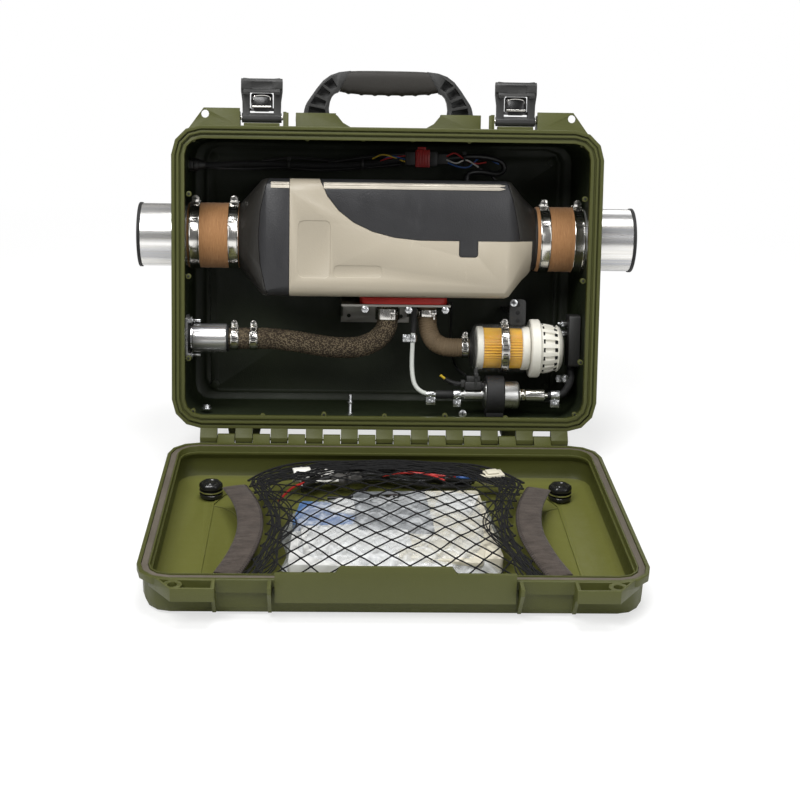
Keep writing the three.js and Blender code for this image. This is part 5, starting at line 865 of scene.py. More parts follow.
def slotted_cap():
    """The cap's ring and dome, with slots pressed into the dome's side."""
    profile = [(176, 12), (176, 34), (177.4, 35.4), (186.6, 35.4), (188, 34), (188, 31)]
    profile += [(188.6 + k * 0.85, 30.4 - 0.012 * k * k * 0.6) for k in range(24)]
    profile += [(209.5, 28.6), (212.5, 26.2), (215, 22), (216.6, 15), (217, 6), (217, 0.01)]
    slots, segments = 18, 180
    points, kinds = [], []
    for x, r in profile:
        for k in range(segments):
            inside = (k % (segments // slots)) in (2, 3, 4, 5)
            depth = 2.6 if inside and 190.4 < x < 207.5 else 0.0
            angle = 2 * pi * (k + 0.5) / segments
            points.append((x, FILTER[0] + (r - depth) * cos(angle),
                FILTER[1] + (r - depth) * sin(angle)))
    # The slots' end walls take the dark material: painted shade in the slots.
    for i in range(len(profile) - 1):
        for k in range(segments):
            middle_x = (profile[i][0] + profile[i + 1][0]) / 2
            end = 190.2 < middle_x < 192.6 or 204.6 < middle_x < 207.8
            kinds.append(1 if end and (k % (segments // slots)) in (1, 2, 3, 4, 5) else 0)
    return Shape().add(points, wall(len(profile), segments), kinds=kinds)


put("filter_dome", slotted_cap(), ["off_white", "slot_dark"], ["filter_cap"], degrees=40)

worm_clamp("filter_strap", 145, FILTER, 29.7, 10, ["filter_bracket"], lift=8, slots=(18, 110))
bracket = Shape()
plate(rounded(150.4, 170, 132.6, 164, 4), -53.4, -51.4, 0, bracket)
block((150.4, 145.6, -151.3), (168, 147.6, -53), 0, bracket)
# Three dark discs stand in for holes in the plate: painted shade.
for k in range(3):
    plate(circle(2.7, 20, (160.4, 138.5 + k * 9.5)), -51.45, -51.2, 1, bracket)
put("filter_plate", bracket, ["black_plastic", "slot_dark"], width=0.5)
plate_bolt = screw_head(4.4, -51.2, -47.6, (155, 160))
put("filter_bolt", plate_bolt, ["zinc_bright", "slot_dark"], width=0.2)


# ---------------------------------------------------------------- fuel line and pump

fuel_path = smooth_path([(35.5, 165.15, -60), (35.5, 146, -60), (35.5, 128, -60),
    (34.4, 105, -59), (34.2, 78, -56), (37.5, 60, -53), (46, 51, -51), (58, 48.3, -50),
    (72, 48, -50), (85, 48, -50)], 1.5)
line = put("fuel_tube", tube(fuel_path, 2.75, 24), "fuel_white", ["fuel_line"])
sleeve_path = [p for p in fuel_path if 121 < p.y < 157]
put("fuel_sleeve", tube(sleeve_path, 3.5, 24), "black_rubber", width=0.3)
put("fuel_coupling", lathe([(63, 2.9), (63, 4.6), (64, 5.1), (84, 5.1), (85, 4.6), (85, 2.9)],
    PUMP, "x", 32, closed=True), "black_rubber")
ear_clip("clip_line", (57, 48.2, -50), 3.2, 11, drop=9.5)
ear_clip("clip_pump", (89, 48, -50), 5.3, 9, drop=9.5)
ear_clip("clip_riser", (35.2, 115, -59.4), 3.6, 8.5, "y", drop=9)
ear_clip("clip_supply", (208, 48.2, -50.4), 5.0, 10.5, drop=9.5)
ear_clip("clip_elbow", (223, 66, -72), 5.2, 8, "y", drop=5)

pump = lathe([(85.3, 2.8), (85.3, 4.2), (97, 4.2), (97, 6.4), (119, 6.4), (121, 15.4),
    (122.4, 17), (160.6, 17), (162.6, 16), (163.8, 13.6), (164, 7.6)], PUMP, "x", 72)
put("pump_barrel", pump, "pump_steel", ["pump_body"], degrees=40)
stem = lathe([(163.5, 8.2), (165.5, 8.2), (166, 5.4), (167, 5.4)], PUMP, "x", 48)
along_x(circle(7.8, 6, PUMP, 0.2), 167, 170.5, 0, stem)
lathe([(170.5, 5.6), (172, 7.2), (194.2, 7.4), (195, 6.7), (195, 3.4), (199, 3.4)], PUMP, "x", 56,
    shape=stem)
put("pump_stem", stem, "steel", width=0.3)
ring = lathe([(123, 17.4), (123, 22.6), (124.2, 23.5), (143.8, 23.5), (145, 22.6), (145, 17.4)],
    PUMP, "x", 80, closed=True)
block((123.6, 22.4, -66), (144.4, 30, -38.2), 0, ring)
put("pump_rubber", ring, "black_rubber", ["pump_mount"], 0.5)
socket = Shape()
block((98, 54.4, -57), (118, 64.5, -43), 0, socket)
block((100, 64.5, -55), (116, 71, -45), 0, socket)
block((93, 57.5, -55), (98, 66, -45), 0, socket)
block((118, 56, -54), (121.6, 63, -46), 0, socket)
put("pump_plug", socket, "black_plastic", width=0.8)
tie = Shape()
block((109.6, 55, -57.6), (112.6, 79, -56.6), 0, tie)
block((109.6, 71, -57.6), (112.6, 72, -42.4), 0, tie)
block((109.6, 55, -43.2), (112.6, 82, -42.2), 0, tie)
block((108.8, 70.6, -43.4), (113.4, 75.6, -39.6), 0, tie)
put("pump_tie", tie, "black_plastic", width=0.3)

inlet_path = smooth_path([(199.3, 48, -50), (207.3, 48, -50), (217.3, 49.6, -53),
    (225.3, 57, -62), (230.3, 66, -73), (230.3, 75, -79), (230.3, 80.65, -79)], 1.2)
put("fuel_elbow", tube(inlet_path, 4.55, 28), "black_rubber", ["fuel_inlet_hose"])


# ---------------------------------------------------------------- things kept in the lid

def net_side(y):
    return 158 - 27 * sin(pi * min(max((y - 95) / 240, 0), 1))


def net_level(x, y):
    """Height of the net: drawn over the bag and leads, down to the tray's ends."""
    u = min(abs(x) / 150, 1)
    v = abs(y - 187.7) / 167
    level = -17.5 + 10 * (1 - u ** 3) * (1 - min(v, 1) ** 4)
    return level + 0.7 * sin(x * 0.06 + 1) * sin(y * 0.05)


def net_place(s, t):
    """Where a point of the flat net lies. s and t run from 0 to 1 across and to the front."""
    xi = 2 * s - 1
    spread = xi * (1.28 - 0.28 * xi * xi)
    back = 28 + 58 * abs(xi) ** 2.4
    y = back + (350 - back) * t * (0.66 + 0.34 * t)
    half = net_side(y) - 3
    x = half * spread
    spot = Vector((s * 7.3, t * 6.1, 0.4))
    x += noise.noise(spot) * 3.2 * (1 - abs(xi) ** 3)
    y += noise.noise(spot + Vector((31.7, 12.3, 5.9))) * 3.6 * sin(pi * min(max(t, 0), 1))
    return Vector((x, y, net_level(x, y)))


def make_net():
    """Diagonal cords crossed and knotted to diamonds, with gathered edges."""
    columns, rows = 11, 11
    across, along = columns * 2, rows * 2
    shape = Shape()
    knots = set()
    for sign in (1, -1):
        for start in range(-along, across + along + 1, 2):
            path, cells = [], []
            for j in range(along + 1):
                i = start + sign * j
                if 0 <= i <= across:
                    cells.append((i, j))
            if len(cells) < 2:
                continue
            knots.update(cells)
            for (i0, j0), (i1, j1) in zip(cells, cells[1:]):
                for k in range(3):
                    f = k / 3
                    place = net_place((i0 + (i1 - i0) * f) / across, (j0 + (j1 - j0) * f) / along)
                    place.z += sign * 0.45 * sin(pi * f)
                    path.append(place)
            path.append(net_place(cells[-1][0] / across, cells[-1][1] / along))
            tube(path, 0.82, 5, shape=shape)
    for i, j in sorted(knots):
        middle = net_place(i / across, j / along)
        tube([middle + Vector((-1.7, 0, 0)), middle + Vector((-0.7, 0, 0.15)),
            middle + Vector((0.7, 0, 0.15)), middle + Vector((1.7, 0, 0))],
            lambda s: 1.35 - 0.38 * abs(s - 1.7) / 1.7, 6, shape=shape)
    for t in (0.0, 1.0):
        tube([net_place(k / 60, t) + Vector((0, 0, 0.3)) for k in range(61)], 1.3, 6, shape=shape)
    slack = random.Random(11)
    for side in (-1, 1):
        for k in range(13):
            depth = 2 + 26 * (k / 12) ** 1.25
            phase, wave = slack.uniform(0, 6), slack.uniform(1.4, 3.2)
            path = []
            for m in range(34):
                f = m / 33
                y = 86 + 250 * f
                lean = depth * (0.75 + 0.25 * sin(f * wave * 5 + phase))
                x = (net_side(y) - 5 - lean) * side
                path.append((x, y, net_level(x, y) + 0.8 * sin(f * 17 + phase) - 0.4))
            tube(path, slack.uniform(0.65, 0.95), 5, shape=shape)
    for k in range(16):
        phase = slack.uniform(0, 6)
        path = []
        for m in range(40):
            xi = -0.94 + 1.88 * m / 39
            y = 28 + 58 * abs(xi) ** 2.4 + 3 + k * 2.3 + 2.4 * sin(xi * 9 + phase)
            x = (net_side(y) - 3) * xi
            path.append((x, y, net_level(x, y) + 1.0 * sin(xi * 14 + phase) - 0.2))
        tube(path, slack.uniform(0.65, 0.95), 5, shape=shape)
    return shape


stow("net", make_net(), "net_cord", ["storage_net"])


def make_band(side):
    """Padded suede strip, drawn in at half height, over a black webbing."""
    steps, around = 60, 16
    rows = []
    for i in range(steps + 1):
        f = i / steps
        y = 108 + 222 * f
        inner = net_side(y) - 5
        ahead = net_side(y + 1) - net_side(y - 1)
        across = Vector((2, -ahead, 0)).normalized()
        lean = 6 * (1 - 2 * f) * abs(1 - 2 * f)
        level = net_level(inner, y) + 1.2
        outward = 8.5 * (1 - f) ** 1.6 + 4.5 * sin(pi * f)
        centre = Vector((inner + 13.2 + outward, y + lean - 6 * (1 - f) ** 3, level + 0.6))
        row = []
        for k in range(around):
            angle = 2 * pi * k / around
            c, s = cos(angle), sin(angle)
            wide = 13.4 * copysign(abs(c) ** 0.55, c)
            high = (2.9 if s > 0 else 1.6) * copysign(abs(s) ** 0.7, s)
            puff = noise.noise(Vector((f * 9 + side, k * 0.4, 3.1))) * 0.7
            end = sin(pi * min(max(f * 14, 0), 0.5)) * sin(pi * min(max((1 - f) * 14, 0), 0.5))
            place = centre + across * wide + Vector((0, 0,
                (high + puff * max(s, 0)) * (0.55 + 0.45 * end)))
            row.append(Vector((place.x * side, place.y, place.z)))
        rows.append(row)
    kinds = [int(k >= 8) for _ in range(steps) for k in range(around)] + [0, 0]
    shape = Shape().add([p for row in rows for p in row],
        wall(steps + 1, around) + end_faces(steps + 1, around), kinds=kinds)
    stitches = Shape()
    for row in rows[1:-1]:
        edge, top = row[8], row[6]
        inward = (edge - row[0]).normalized()
        tube([edge + inward * 0.3 + Vector((0, 0, -0.6)),
            edge + inward * 0.5 + Vector((0, 0, 0.8)), top + Vector((0, 0, 0.35)),
            top - inward * 0.8 + Vector((0, 0, -0.2))], 0.42, 5, shape=stitches)
    return shape, stitches


for side, tag in ((1, "left"), (-1, "right")):
    shape, stitches = make_band(-side)
    band = stow(f"band_{tag}", shape, ["suede", "webbing"], [f"net_band_{tag}"], degrees=60)
    stow(f"band_stitches_{tag}", stitches, "stitch")


def make_post(x, y):
    """Net post: base, waist with a bright washer, and a lobed knob."""
    base = [(0.01, -37.5), (12.6, -37.5), (13, -36.9), (13, -33.6), (12.4, -33.1), (8.2, -33),
        (8.2, -31), (12.8, -31), (13.2, -30.2), (13.2, -29.2), (8.6, -29), (8.6, -27.8)]
    knob = [(12.0, -27.8), (13.2, -26.8), (13.4, -24.4), (12.8, -22.2), (11.4, -20.9), (8, -20.6),
        (7.2, -21.6), (5.4, -21.8), (4.6, -20.8), (0.01, -20.8)]
    segments = 84
    points, kinds = [], []
    rings = base + knob
    for number, (r, z) in enumerate(rings):
        for k in range(segments):
            angle = 2 * pi * k / segments
            lobed = number >= len(base) and r > 9
            wide = r * (1 - 0.075 * (0.5 - 0.5 * cos(6 * angle)) ** 0.7) if lobed else r
            points.append((x + wide * cos(angle), y + wide * sin(angle), z))
    for (r, z), (_, z_after) in zip(rings, rings[1:]):
        kinds += [int(z >= -31 and z_after <= -29.2 and r > 12)] * segments
    return Shape().add(points, wall(len(rings), segments), kinds=kinds)


for side, tag in ((-1, "left"), (1, "right")):
    stow(f"post_{tag}", make_post(side * 198, 82), ["gloss_black", "steel"],
        [f"net_post_{'right' if side > 0 else 'left'}"], degrees=32)


def make_film():
    """A slack film bag over the packets."""
    columns, rows = 96, 76
    points, faces = [], []
    for layer in (1, 0):
        for j in range(rows + 1):
            for i in range(columns + 1):
                u, v = i / columns, j / rows
                edge = (1 - abs(2 * u - 1) ** 7) * (1 - abs(2 * v - 1) ** 7)
                x = -112 + 228 * (0.5 + (u - 0.5) * (1 - 0.03 * sin(v * 9 + 1)))
                rear = 128 - 44 * u + 5 * sin(u * 8)
                front = 301 - 34 * max(0, 0.42 - u) ** 1.5 / 0.27
                y = rear + (front - rear) * v
                seat = -39.3
                if layer:
                    where = Vector((x * 0.021, y * 0.024, 0.7))
                    fold = noise.noise(where) * 3.2 + noise.noise(where * 2.7) * 1.7
                    ridge = 1 - abs(noise.noise(where * 4.6))
                    z = seat + 1.2 + (25.5 + fold + 2.6 * ridge ** 3) * edge
                    z = min(z, net_level(x, y) - 1.6)
                else:
                    z = seat
                points.append((x, y, z))
    stride = columns + 1
    layer_size = stride * (rows + 1)
    for layer in (0, 1):
        for j in range(rows):
            for i in range(columns):
                a = layer * layer_size + j * stride + i
                face = [a, a + 1, a + stride + 1, a + stride]
                faces.append(face if layer == 0 else face[::-1])

    def rim(a, b):
        faces.append([a, a + layer_size, b + layer_size, b])

    for i in range(columns):
        rim(i, i + 1)
        rim(rows * stride + i + 1, rows * stride + i)
    for j in range(rows):
        rim((j + 1) * stride, j * stride)
        rim(j * stride + columns, (j + 1) * stride + columns)
    return Shape().add(points, faces)


bag = stow("bag", make_film(), "bag_film", ["accessory_bag"], degrees=70)


def packet(shape, x0, x1, y0, y1, z0, z1, turn, soft, seed, kind):
    """A flat packet or booklet with rounded corners and a slightly uneven top."""
    outline = rounded(x0, x1, y0, y1, min(6, (x1 - x0) / 4, (y1 - y0) / 4))
    middle = Vector(((x0 + x1) / 2, (y0 + y1) / 2, 0))
    spin = Matrix.Rotation(radians(turn), 4, "Z")
    made = plate(outline, z0, z1, kind)
    made.points = [middle + spin @ (p - middle) for p in made.points]
    for p in made.points:
        if p.z > z0 + 0.01:
            p.z += soft * noise.noise(Vector((p.x * 0.03 + seed, p.y * 0.03, 1)))
    return shape.merge(made, Matrix.Identity(4))


inside = Shape()
for values in ((-104, 62, 210, 290, -39, -22, 2, 1, 0, 0),
        (-92, 20, 200, 262, -22, -17.2, -5, 1, 1, 0), (-100, -36, 140, 200, -39, -19, 8, 1, 2, 1),
        (-36, 44, 118, 214, -26, -14.6, -3, 0.5, 3, 2),
        (46, 108, 104, 278, -39, -19.5, -4, 1, 4, 3),
        (-62, -30, 136, 170, -19, -16.6, 20, 1, 5, 4),
        (54, 96, 118, 168, -19.5, -15.6, 14, 1, 6, 0), (10, 96, 226, 284, -22, -17.6, 9, 1, 7, 3),
        (-20, 26, 128, 150, -14.6, -13.8, -3, 0, 8, 5)):
    packet(inside, *values)
stow("bag_contents", inside, ["paper_white", "packet_blue", "packet_grey", "paper_cream",
    "paper_white", "gloss_black"], width=0.8)


# ---------------------------------------------------------------- leads kept in the lid

loom_random = random.Random(21)
loom = Shape()
for k in range(15):
    drift = [loom_random.uniform(-1, 1) for _ in range(8)]
    points = []
    for m, (x, y) in enumerate(((-96, 76), (-70, 62), (-38, 52), (0, 48), (38, 52), (70, 60),
            (100, 68))):
        points.append((x + drift[m] * 4, y + (k - 7) * 2.0 + drift[m] * 6,
            -27 + (k % 3) * 4.6 + drift[(m + 2) % 8] * 2.4))
    tube(smooth_path(points, 4), loom_random.choice((1.5, 1.9, 2.4)), 10, shape=loom)
stow("loom", loom, "wire_black", ["accessory_harness"])
for name, points, radius, material in (("lead_red_one",
        ((-4, 74, -15), (14, 70, -13), (34, 70, -13), (52, 76, -13), (66, 86, -15)), 1.3,
        "wire_red"), ("lead_red_two", ((-120, 122, -26), (-112, 108, -22), (-104, 98, -19),
        (-92, 88, -18)), 1.4, "wire_red"), ("lead_red_three",
        ((20, 66, -13), (44, 72, -12.5), (70, 78, -13), (92, 74, -15)), 1.2, "wire_red"),
        ("lead_blue", ((78, 76, -14), (86, 80, -13.5), (98, 80, -14), (108, 76, -15)), 1.4,
        "wire_blue"), ("lead_white", ((-96, 92, -21), (-82, 86, -18), (-66, 86, -17),
        (-54, 84, -17)), 1.5, "wire_white"), ("lead_grey",
        ((-66, 112, -26), (-46, 116, -24), (-30, 108, -22), (-22, 92, -23)), 2.1, "wire_black")):
    stow(name, tube(smooth_path(points, 2.5), radius, 12), material)

joint = Shape()
turned_joint = lathe([(0, 6), (0, 8.4), (1, 9), (19, 9), (20, 8.6), (20, 7), (27, 7), (27.5, 6.6),
    (27.5, 4)], (0, 0), "x", 36)
joint.merge(turned_joint, at(-106, 66, -19, -12))
joint.merge(lathe([(0, 5), (0, 6.4), (14, 6.4), (14.5, 8), (26, 8), (27, 7.4), (27, 4)], (0, 0),
    "x", 32), at(-84, 62, -19, 10))
joint.merge(block((-4, -11, -5), (7, 11, 6)), at(-94, 64, -19))
stow("plug_white", joint, "white_plastic", width=0.8)
housing = Shape()
for low, high in (((-12, -8.5, -6), (10, 8.5, 6)), ((-10, -6, 6), (4, 6, 8.4)),
        ((-17, -6.5, -4.5), (-12, 6.5, 4.5))):
    housing.merge(block(low, high), at(124, 68, -18, -14))
stow("plug_cream", housing, "paper_cream", width=1.0)
knuckle = Shape()
for x, y, z, a in ((-52, 78, -18, 30), (-36, 76, -17, -20)):
    knuckle.merge(lathe([(-9, 3), (-9, 6), (-8, 6.8), (6, 6.8), (8, 5), (8, 2)], (0, 0), "x", 28),
        at(x, y, z, a))
stow("plug_boots", knuckle, "boot_grey", width=0.4)


# ---------------------------------------------------------------- wiring in the base

gland = Shape()
along_x(circle(8.2, 6, (320, -100)), -238.4, -233.4, 0, gland)
lathe([(-233.4, 7.4), (-232.6, 8), (-227, 7.4), (-226, 6.2), (-219, 4.4), (-218.6, 3.6)],
    (320, -100), "x", 32, shape=gland)
put("cable_gland", gland, "black_plastic", width=0.4)
power_path = smooth_path([(-232.6, 320, -100), (-205.6, 320, -100), (-170.6, 322.5, -106),
    (-125, 322, -110), (-75, 321, -110), (-25, 323, -106), (8, 328, -100), (22, 331, -100),
    (35.5, 331, -100)], 2)
cable = put("power_lead", tube(power_path, 3.5, 20), "cord_braid", ["power_cable"])
heater_path = smooth_path([(63.35, 331, -100), (73.35, 331, -100), (96, 334, -102),
    (122, 334, -108), (142, 329, -114), (147, 320, -116), (138, 313.9, -112), (118, 315.9, -104),
    (104, 314.9, -100), (100, 309.9, -100), (100, 304.9, -100)], 2)
cable = put("heater_lead", tube(heater_path, 3.3, 20), "wire_black", ["heater_cable"])
for name, points, radius, material in (("base_lead_one",
        ((-226, 318, -104), (-180, 316, -111), (-130, 318, -116), (-80, 316, -116),
        (-30, 319, -111), (20, 324, -106)), 2.0, "wire_black"),
        ("base_lead_two", ((-150, 326, -108), (-110, 330, -113), (-60, 327, -114),
        (-20, 331, -108), (14, 335, -101)), 1.6, "wire_black"),
        ("base_lead_three", ((-14, 322, -104), (0, 330, -99), (24, 334, -98)), 1.0, "wire_red"),
        ("base_lead_four", ((-8, 326, -103), (6, 333, -98), (24, 330, -97)), 0.9, "wire_blue"),
        ("base_lead_five", ((-16, 330, -102), (-2, 335, -98), (24, 327, -97)), 0.9,
        "wire_yellow"), ("base_lead_ten", ((-70, 325, -112), (-44, 329, -108), (-8, 334, -101),
        (24, 336, -99)), 1.8, "wire_black"), ("base_lead_six",
        ((74, 334, -97), (84, 338, -96), (96, 331, -98), (110, 326, -104), (124, 328, -110)), 1.0,
        "wire_red"), ("base_lead_seven", ((74, 330, -97), (86, 326, -95), (98, 330, -98),
        (114, 322, -105)), 1.0, "wire_white"), ("base_lead_eight",
        ((74, 327, -98), (88, 322, -97), (102, 322, -101), (118, 334, -108), (140, 326, -113)),
        1.0, "wire_blue"), ("base_lead_nine", ((112, 322, -106), (128, 314, -110),
        (136, 306, -112)), 1.8, "wire_black"), ("drop_lead",
        ((84, 156, -96), (84.5, 120, -112), (85, 96, -116), (90, 78, -90), (100, 70, -58)), 1.4,
        "wire_black"), ("pump_lead", ((97, 61.5, -50), (90, 61.5, -49), (83, 63, -48),
        (76, 66, -47), (73, 68, -46)), 2.7, "wire_black"),
        ("pump_lead_end", ((74, 67.5, -46.4), (70.5, 70, -45.6), (68, 72, -45)), 1.5,
        "wire_yellow")):
    put(name, tube(smooth_path(points, 2.5), radius, 12), material)
ties = Shape()
for x, y, z, r in ((-118, 321.6, -110.4, 5.4), (-28, 323.4, -107, 6.2), (96, 331, -101, 5.2)):
    ties.merge(lathe([(-1.3, r), (-1.3, r + 0.9), (1.3, r + 0.9), (1.3, r)], (0, 0), "x", 20,
        closed=True), at(x, y, z))
    ties.merge(block((-2, r, -2), (2.2, r + 4, 2.4)), at(x, y, z))
put("cable_ties", ties, "black_plastic", width=0.2)
red = Shape()
block((36.4, 320.6, -106.6), (53.6, 341.4, -93.4), 0, red)
for k in range(5):
    block((38.2 + k * 3.1, 321.6, -93.5), (39.6 + k * 3.1, 340.4, -92.6), 0, red)
block((39, 341.4, -103), (49, 345, -97), 0, red)
put("red_connector", red, "red_plastic", ["inline_connector"], 0.7)
black_ends = Shape()
block((24, 323, -105), (36.4, 338.6, -95), 0, black_ends)
block((53.6, 322.4, -105), (63, 339.4, -95), 0, black_ends)
block((63, 324.5, -103.5), (76, 337, -96.5), 0, black_ends)
put("connector_ends", black_ends, "black_plastic", width=0.9)


# ---------------------------------------------------------------- small parts of the case

# Screw bosses round the inside of the base's mouth, each with a dark disc that stands in for its
# hole: painted shade.
bosses = Shape()
for x, y in ((28.7, 351), (93.7, 350.4), (153, 352), (225.5, 347.6), (230.5, 285), (231, 189.5),
        (231, 93.3), (226, 30.6), (144, 25.4), (71.7, 27.8)):
    for side in (-1, 1):
        plate(circle(3.1, 24, (side * x, y)), -15, -8.2, 0, bosses)
        plate(circle(1.5, 16, (side * x, y)), -8.3, -8.1, 1, bosses)
plate(circle(3.1, 24, (0, 26.4)), -15, -8.2, 0, bosses)
plate(circle(1.5, 16, (0, 26.4)), -8.3, -8.1, 1, bosses)
put("mouth_bosses", bosses, ["olive", "slot_dark"], width=0.35)

# Low seat behind each latch.
seats = Shape()
for side in (-1, 1):
    block((side * LATCH_X - 20.5, 363, -15.5), (side * LATCH_X + 20.5, 367.1, -5), 0, seats)
put("latch_seats", seats, "olive", width=0.4)

# Stud and screws that stand on the floor side.
studs = Shape()
for x, y0, y1, z in ((-40, 17, 44, -70), (-214, 26, 31, -60)):
    lathe([(y0, 0.01), (y0, 6.6), (y0 + 1.6, 6.6), (y0 + 1.6, 4.8), (y0 + 5, 4.8), (y0 + 5, 2.2),
        (y1, 2.2), (y1 + 0.6, 1.6), (y1 + 0.6, 0.01)], (z, x), "y", 24, shape=studs)
lathe([(33, 2.3), (33, 3.8), (35.6, 3.8), (35.6, 2.3)], (-70, -40), "y", 20, shape=studs,
    closed=True)
studs.merge(screw_head(4.6, -3, 1.4), at(95, 26.6, -36))
put("studs", studs, ["zinc_bright", "slot_dark"], width=0.2)

# Nuts of the service block.
service = Shape()
for y in (121, 133):
    along_x(circle(4.4, 6, (y, -79)), 217.6, 222.4, 0, service)
    along_x(circle(1.9, 16, (y, -79)), 213.5, 217.6, 0, service)
put("service_nuts", service, "zinc_bright", width=0.25)

# Nuts on the bracket under the gasket.
nuts = Shape()
for x, y in ((-24, 151), (28, 150.6), (72, 151)):
    nuts.merge(plate(circle(4.6, 6), -3, 1.6), at(x, y, -38))
    nuts.merge(plate(circle(2.2, 16), 1.6, 4.4), at(x, y, -38))
put("bracket_nuts", nuts, "zinc_bright", width=0.25)

# The curved line pressed into the tray's floor at each end.
ridge = Shape()
for side in (-1, 1):
    tube(smooth_path([(side * x, y, -39.7) for x, y in
        ((196, 104), (181, 112), (168, 128), (162, 152), (161, 182), (165, 215), (172, 250),
        (184, 286))], 3), 1.1, 8, shape=ridge)
stow("tray_lines", ridge, "olive")


# ---------------------------------------------------------------- trim of the heater

def corner_strip(x0, x1, name, round_end=False, middle=27.5, half=17.5):
    """A bright strip laid on the heater's rounded front edge."""
    count = 30
    rows = []
    for i in range(count + 1):
        x = x0 + (x1 - x0) * i / count
        trim = 1.0
        if round_end and x1 - x < 6:
            trim = sqrt(max(0.02, 1 - (1 - (x1 - x) / 6) ** 2))
        reach = half * trim
        row = []
        for r in (14.0, 14.45):
            angles = [radians(middle - reach + 2 * reach * k / 8) for k in range(9)]
            if r > 14.2:
                angles = angles[::-1]
            for a in angles:
                row.append((x, 290.5 + r * sin(a), -30 + r * cos(a)))
        rows.append(row)
    n = len(rows[0])
    points = [p for row in rows for p in row]
    faces = wall(count + 1, n) + end_faces(count + 1, n)
    return put(name, Shape().add(points, faces), "champagne", degrees=30)


for number, middle in enumerate((19, 36.5)):
    corner_strip(-136, -114.4, f"strip_ring_{number}", False, middle, 7.8)
    corner_strip(-74.5, 138, f"strip_long_{number}", True, middle, 7.8)

# Pins that the latches turn on, and each lever's dark pad and bright bars.
for side, tag in ((-1, "left"), (1, "right")):
    middle = side * LATCH_X
    pins = Shape()
    for x0, x1 in ((-24.8, -21.4), (21.4, 24.8)):
        along_x(circle(2.6, 20, (373, -10.5)), middle + x0, middle + x1, 0, pins)
    put(f"latch_pins_{tag}", pins, "steel", width=0.3, body=f"latch_{tag}")
    pad = plate(rounded(middle - 12.4, middle + 12.4, 383.8, 401, 2.5), -12.8, -9.6)
    put(f"lever_pad_{tag}", pad, "black_plastic", width=0.3, body=f"lever_{tag}")
    bars = Shape()
    along_x(circle(1.5, 20, (385.6, -7.8)), middle - 10.8, middle + 10.8, 0, bars)
    tube(smooth_path([(middle - 9.6, 393, -8.6), (middle - 8.6, 397.4, -8.4),
        (middle, 398.8, -8.2), (middle + 8.6, 397.4, -8.4), (middle + 9.6, 393, -8.6)], 2), 0.9,
        10, shape=bars)
    put(f"lever_bars_{tag}", bars, "steel", body=f"lever_{tag}")


# ---------------------------------------------------------------- handle grip

def make_grip():
    """Soft grip with slanted ends, a rounded belly and a row of finger bumps below."""
    steps, around = 96, 40
    points = []
    for i in range(steps + 1):
        share = 2 * i / steps - 1
        for k in range(around):
            angle = 2 * pi * k / around
            c, s = cos(angle), sin(angle)
            z = 11.2 * copysign(abs(c) ** 0.62, c)
            y = 13.6 * copysign(abs(s) ** 0.62, s)
            if y < 0:
                y *= 1.04 - 0.26 * abs(share) ** 3
                under = max(0.0, -s) ** 2
                y -= under * 1.1 * max(0.0, cos(share * pi * 7.5)) ** 2 * (1 if
                    abs(share) < 0.88 else 0)
            else:
                y *= 1 - 0.05 * abs(share) ** 4
            length = 51.6 - 0.55 * y
            points.append((share * length, 416.1 + y, -31 + z))
    return Shape().add(points, wall(steps + 1, around) + end_faces(steps + 1, around))


put("grip", make_grip(), "grip_rubber", ["handle_grip"], degrees=50, body="handle")


# ---------------------------------------------------------------- floor and light

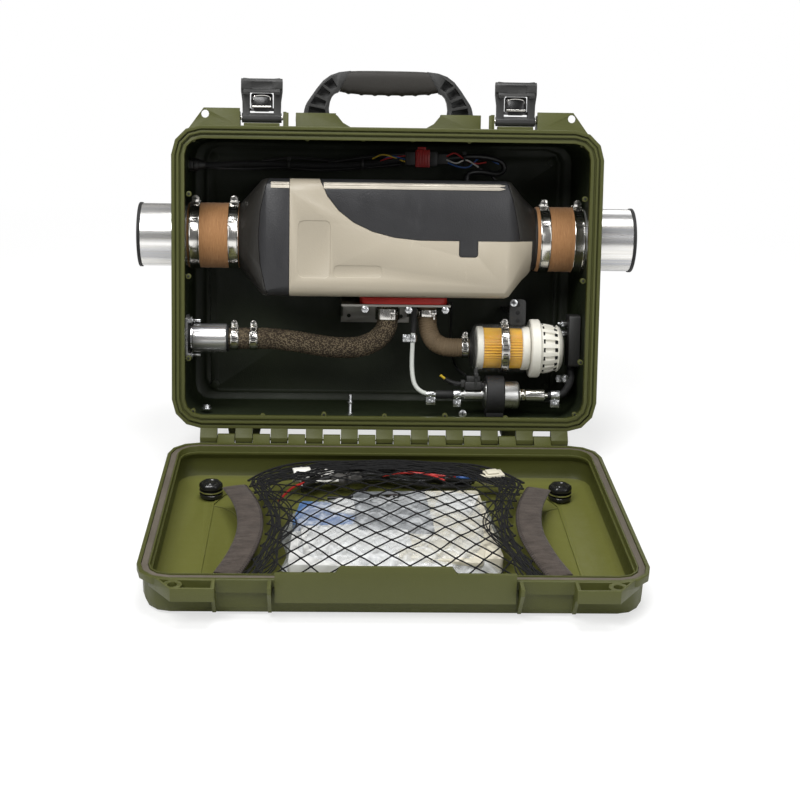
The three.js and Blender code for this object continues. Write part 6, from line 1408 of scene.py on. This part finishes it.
def make_studio():
    scene = bpy.context.scene
    scene.view_settings.view_transform = "Standard"
    n = Nodes("floor")
    path = n.add("LightPath")
    seen = n.math("MAXIMUM", path.outputs["Is Camera Ray"], path.outputs["Is Transmission Ray"])
    where = n.place()
    x, y = n.axis(where, "X"), n.math("SUBTRACT", n.axis(where, "Y"), 0.05)
    away = n.math("SQRT", n.math("ADD", n.math("MULTIPLY", x, x), n.math("MULTIPLY", y, y)))
    far = n.span(away, 0.75, 1.7)
    grain = n.noise(400, 2)
    n.set(color=n.mix(n.math("MULTIPLY", seen, n.span(far, 0, 1, 0.55, 1.0)), (0.80, 0.80, 0.795),
        (0.0, 0.0, 0.0)), rough=n.span(grain, 0, 1, 0.84, 0.9), specular=0.0,
        glow=n.math("ADD", n.math("MULTIPLY", seen, n.span(far, 0, 1, 0.66, 1.0)),
        n.math("MULTIPLY", path.outputs["Is Glossy Ray"], 0.1)))
    n.shader.inputs["Emission Color"].default_value = (1, 1, 1, 1)
    mesh = bpy.data.meshes.new("floor")
    mesh.from_pydata([(-30, -30, -0.0002), (30, -30, -0.0002), (30, 30, -0.0002),
        (-30, 30, -0.0002)], [], [[0, 1, 2, 3]])
    mesh.materials.append(n.material)
    floor = bpy.data.objects.new("floor", mesh)
    scene.collection.objects.link(floor)
    world = bpy.data.worlds.new("world")
    world.use_nodes = True
    tree = world.node_tree
    background = tree.nodes["Background"]
    path = tree.nodes.new("ShaderNodeLightPath")
    most = tree.nodes.new("ShaderNodeMath")
    most.operation = "MAXIMUM"
    tree.links.new(path.outputs["Is Camera Ray"], most.inputs[0])
    tree.links.new(path.outputs["Is Transmission Ray"], most.inputs[1])
    spread = tree.nodes.new("ShaderNodeMapRange")
    spread.inputs["To Min"].default_value = 0.17
    spread.inputs["To Max"].default_value = 1.0
    tree.links.new(most.outputs[0], spread.inputs["Value"])
    tree.links.new(spread.outputs[0], background.inputs["Strength"])
    background.inputs["Color"].default_value = (1, 1, 1, 1)
    scene.world = world
    for name, place, aim, size, power in (
            ("key", (-0.9, -1.6, 2.3), (0, 0.1, 0.15), 1.3, 58),
            ("fill", (1.7, -1.9, 1.3), (0, 0.1, 0.2), 1.4, 15),
            ("top", (0.1, 0.0, 2.4), (0, 0.0, 0.0), 1.0, 36),
            ("back", (0.4, 2.2, 1.6), (0, 0.2, 0.25), 1.4, 12)):
        data = bpy.data.lights.new(name, "AREA")
        data.size = size
        data.energy = power
        lamp = bpy.data.objects.new(name, data)
        lamp.location = place
        lamp.rotation_euler = (Vector(aim) - Vector(place)).to_track_quat("-Z", "Y").to_euler()
        scene.collection.objects.link(lamp)


make_studio()
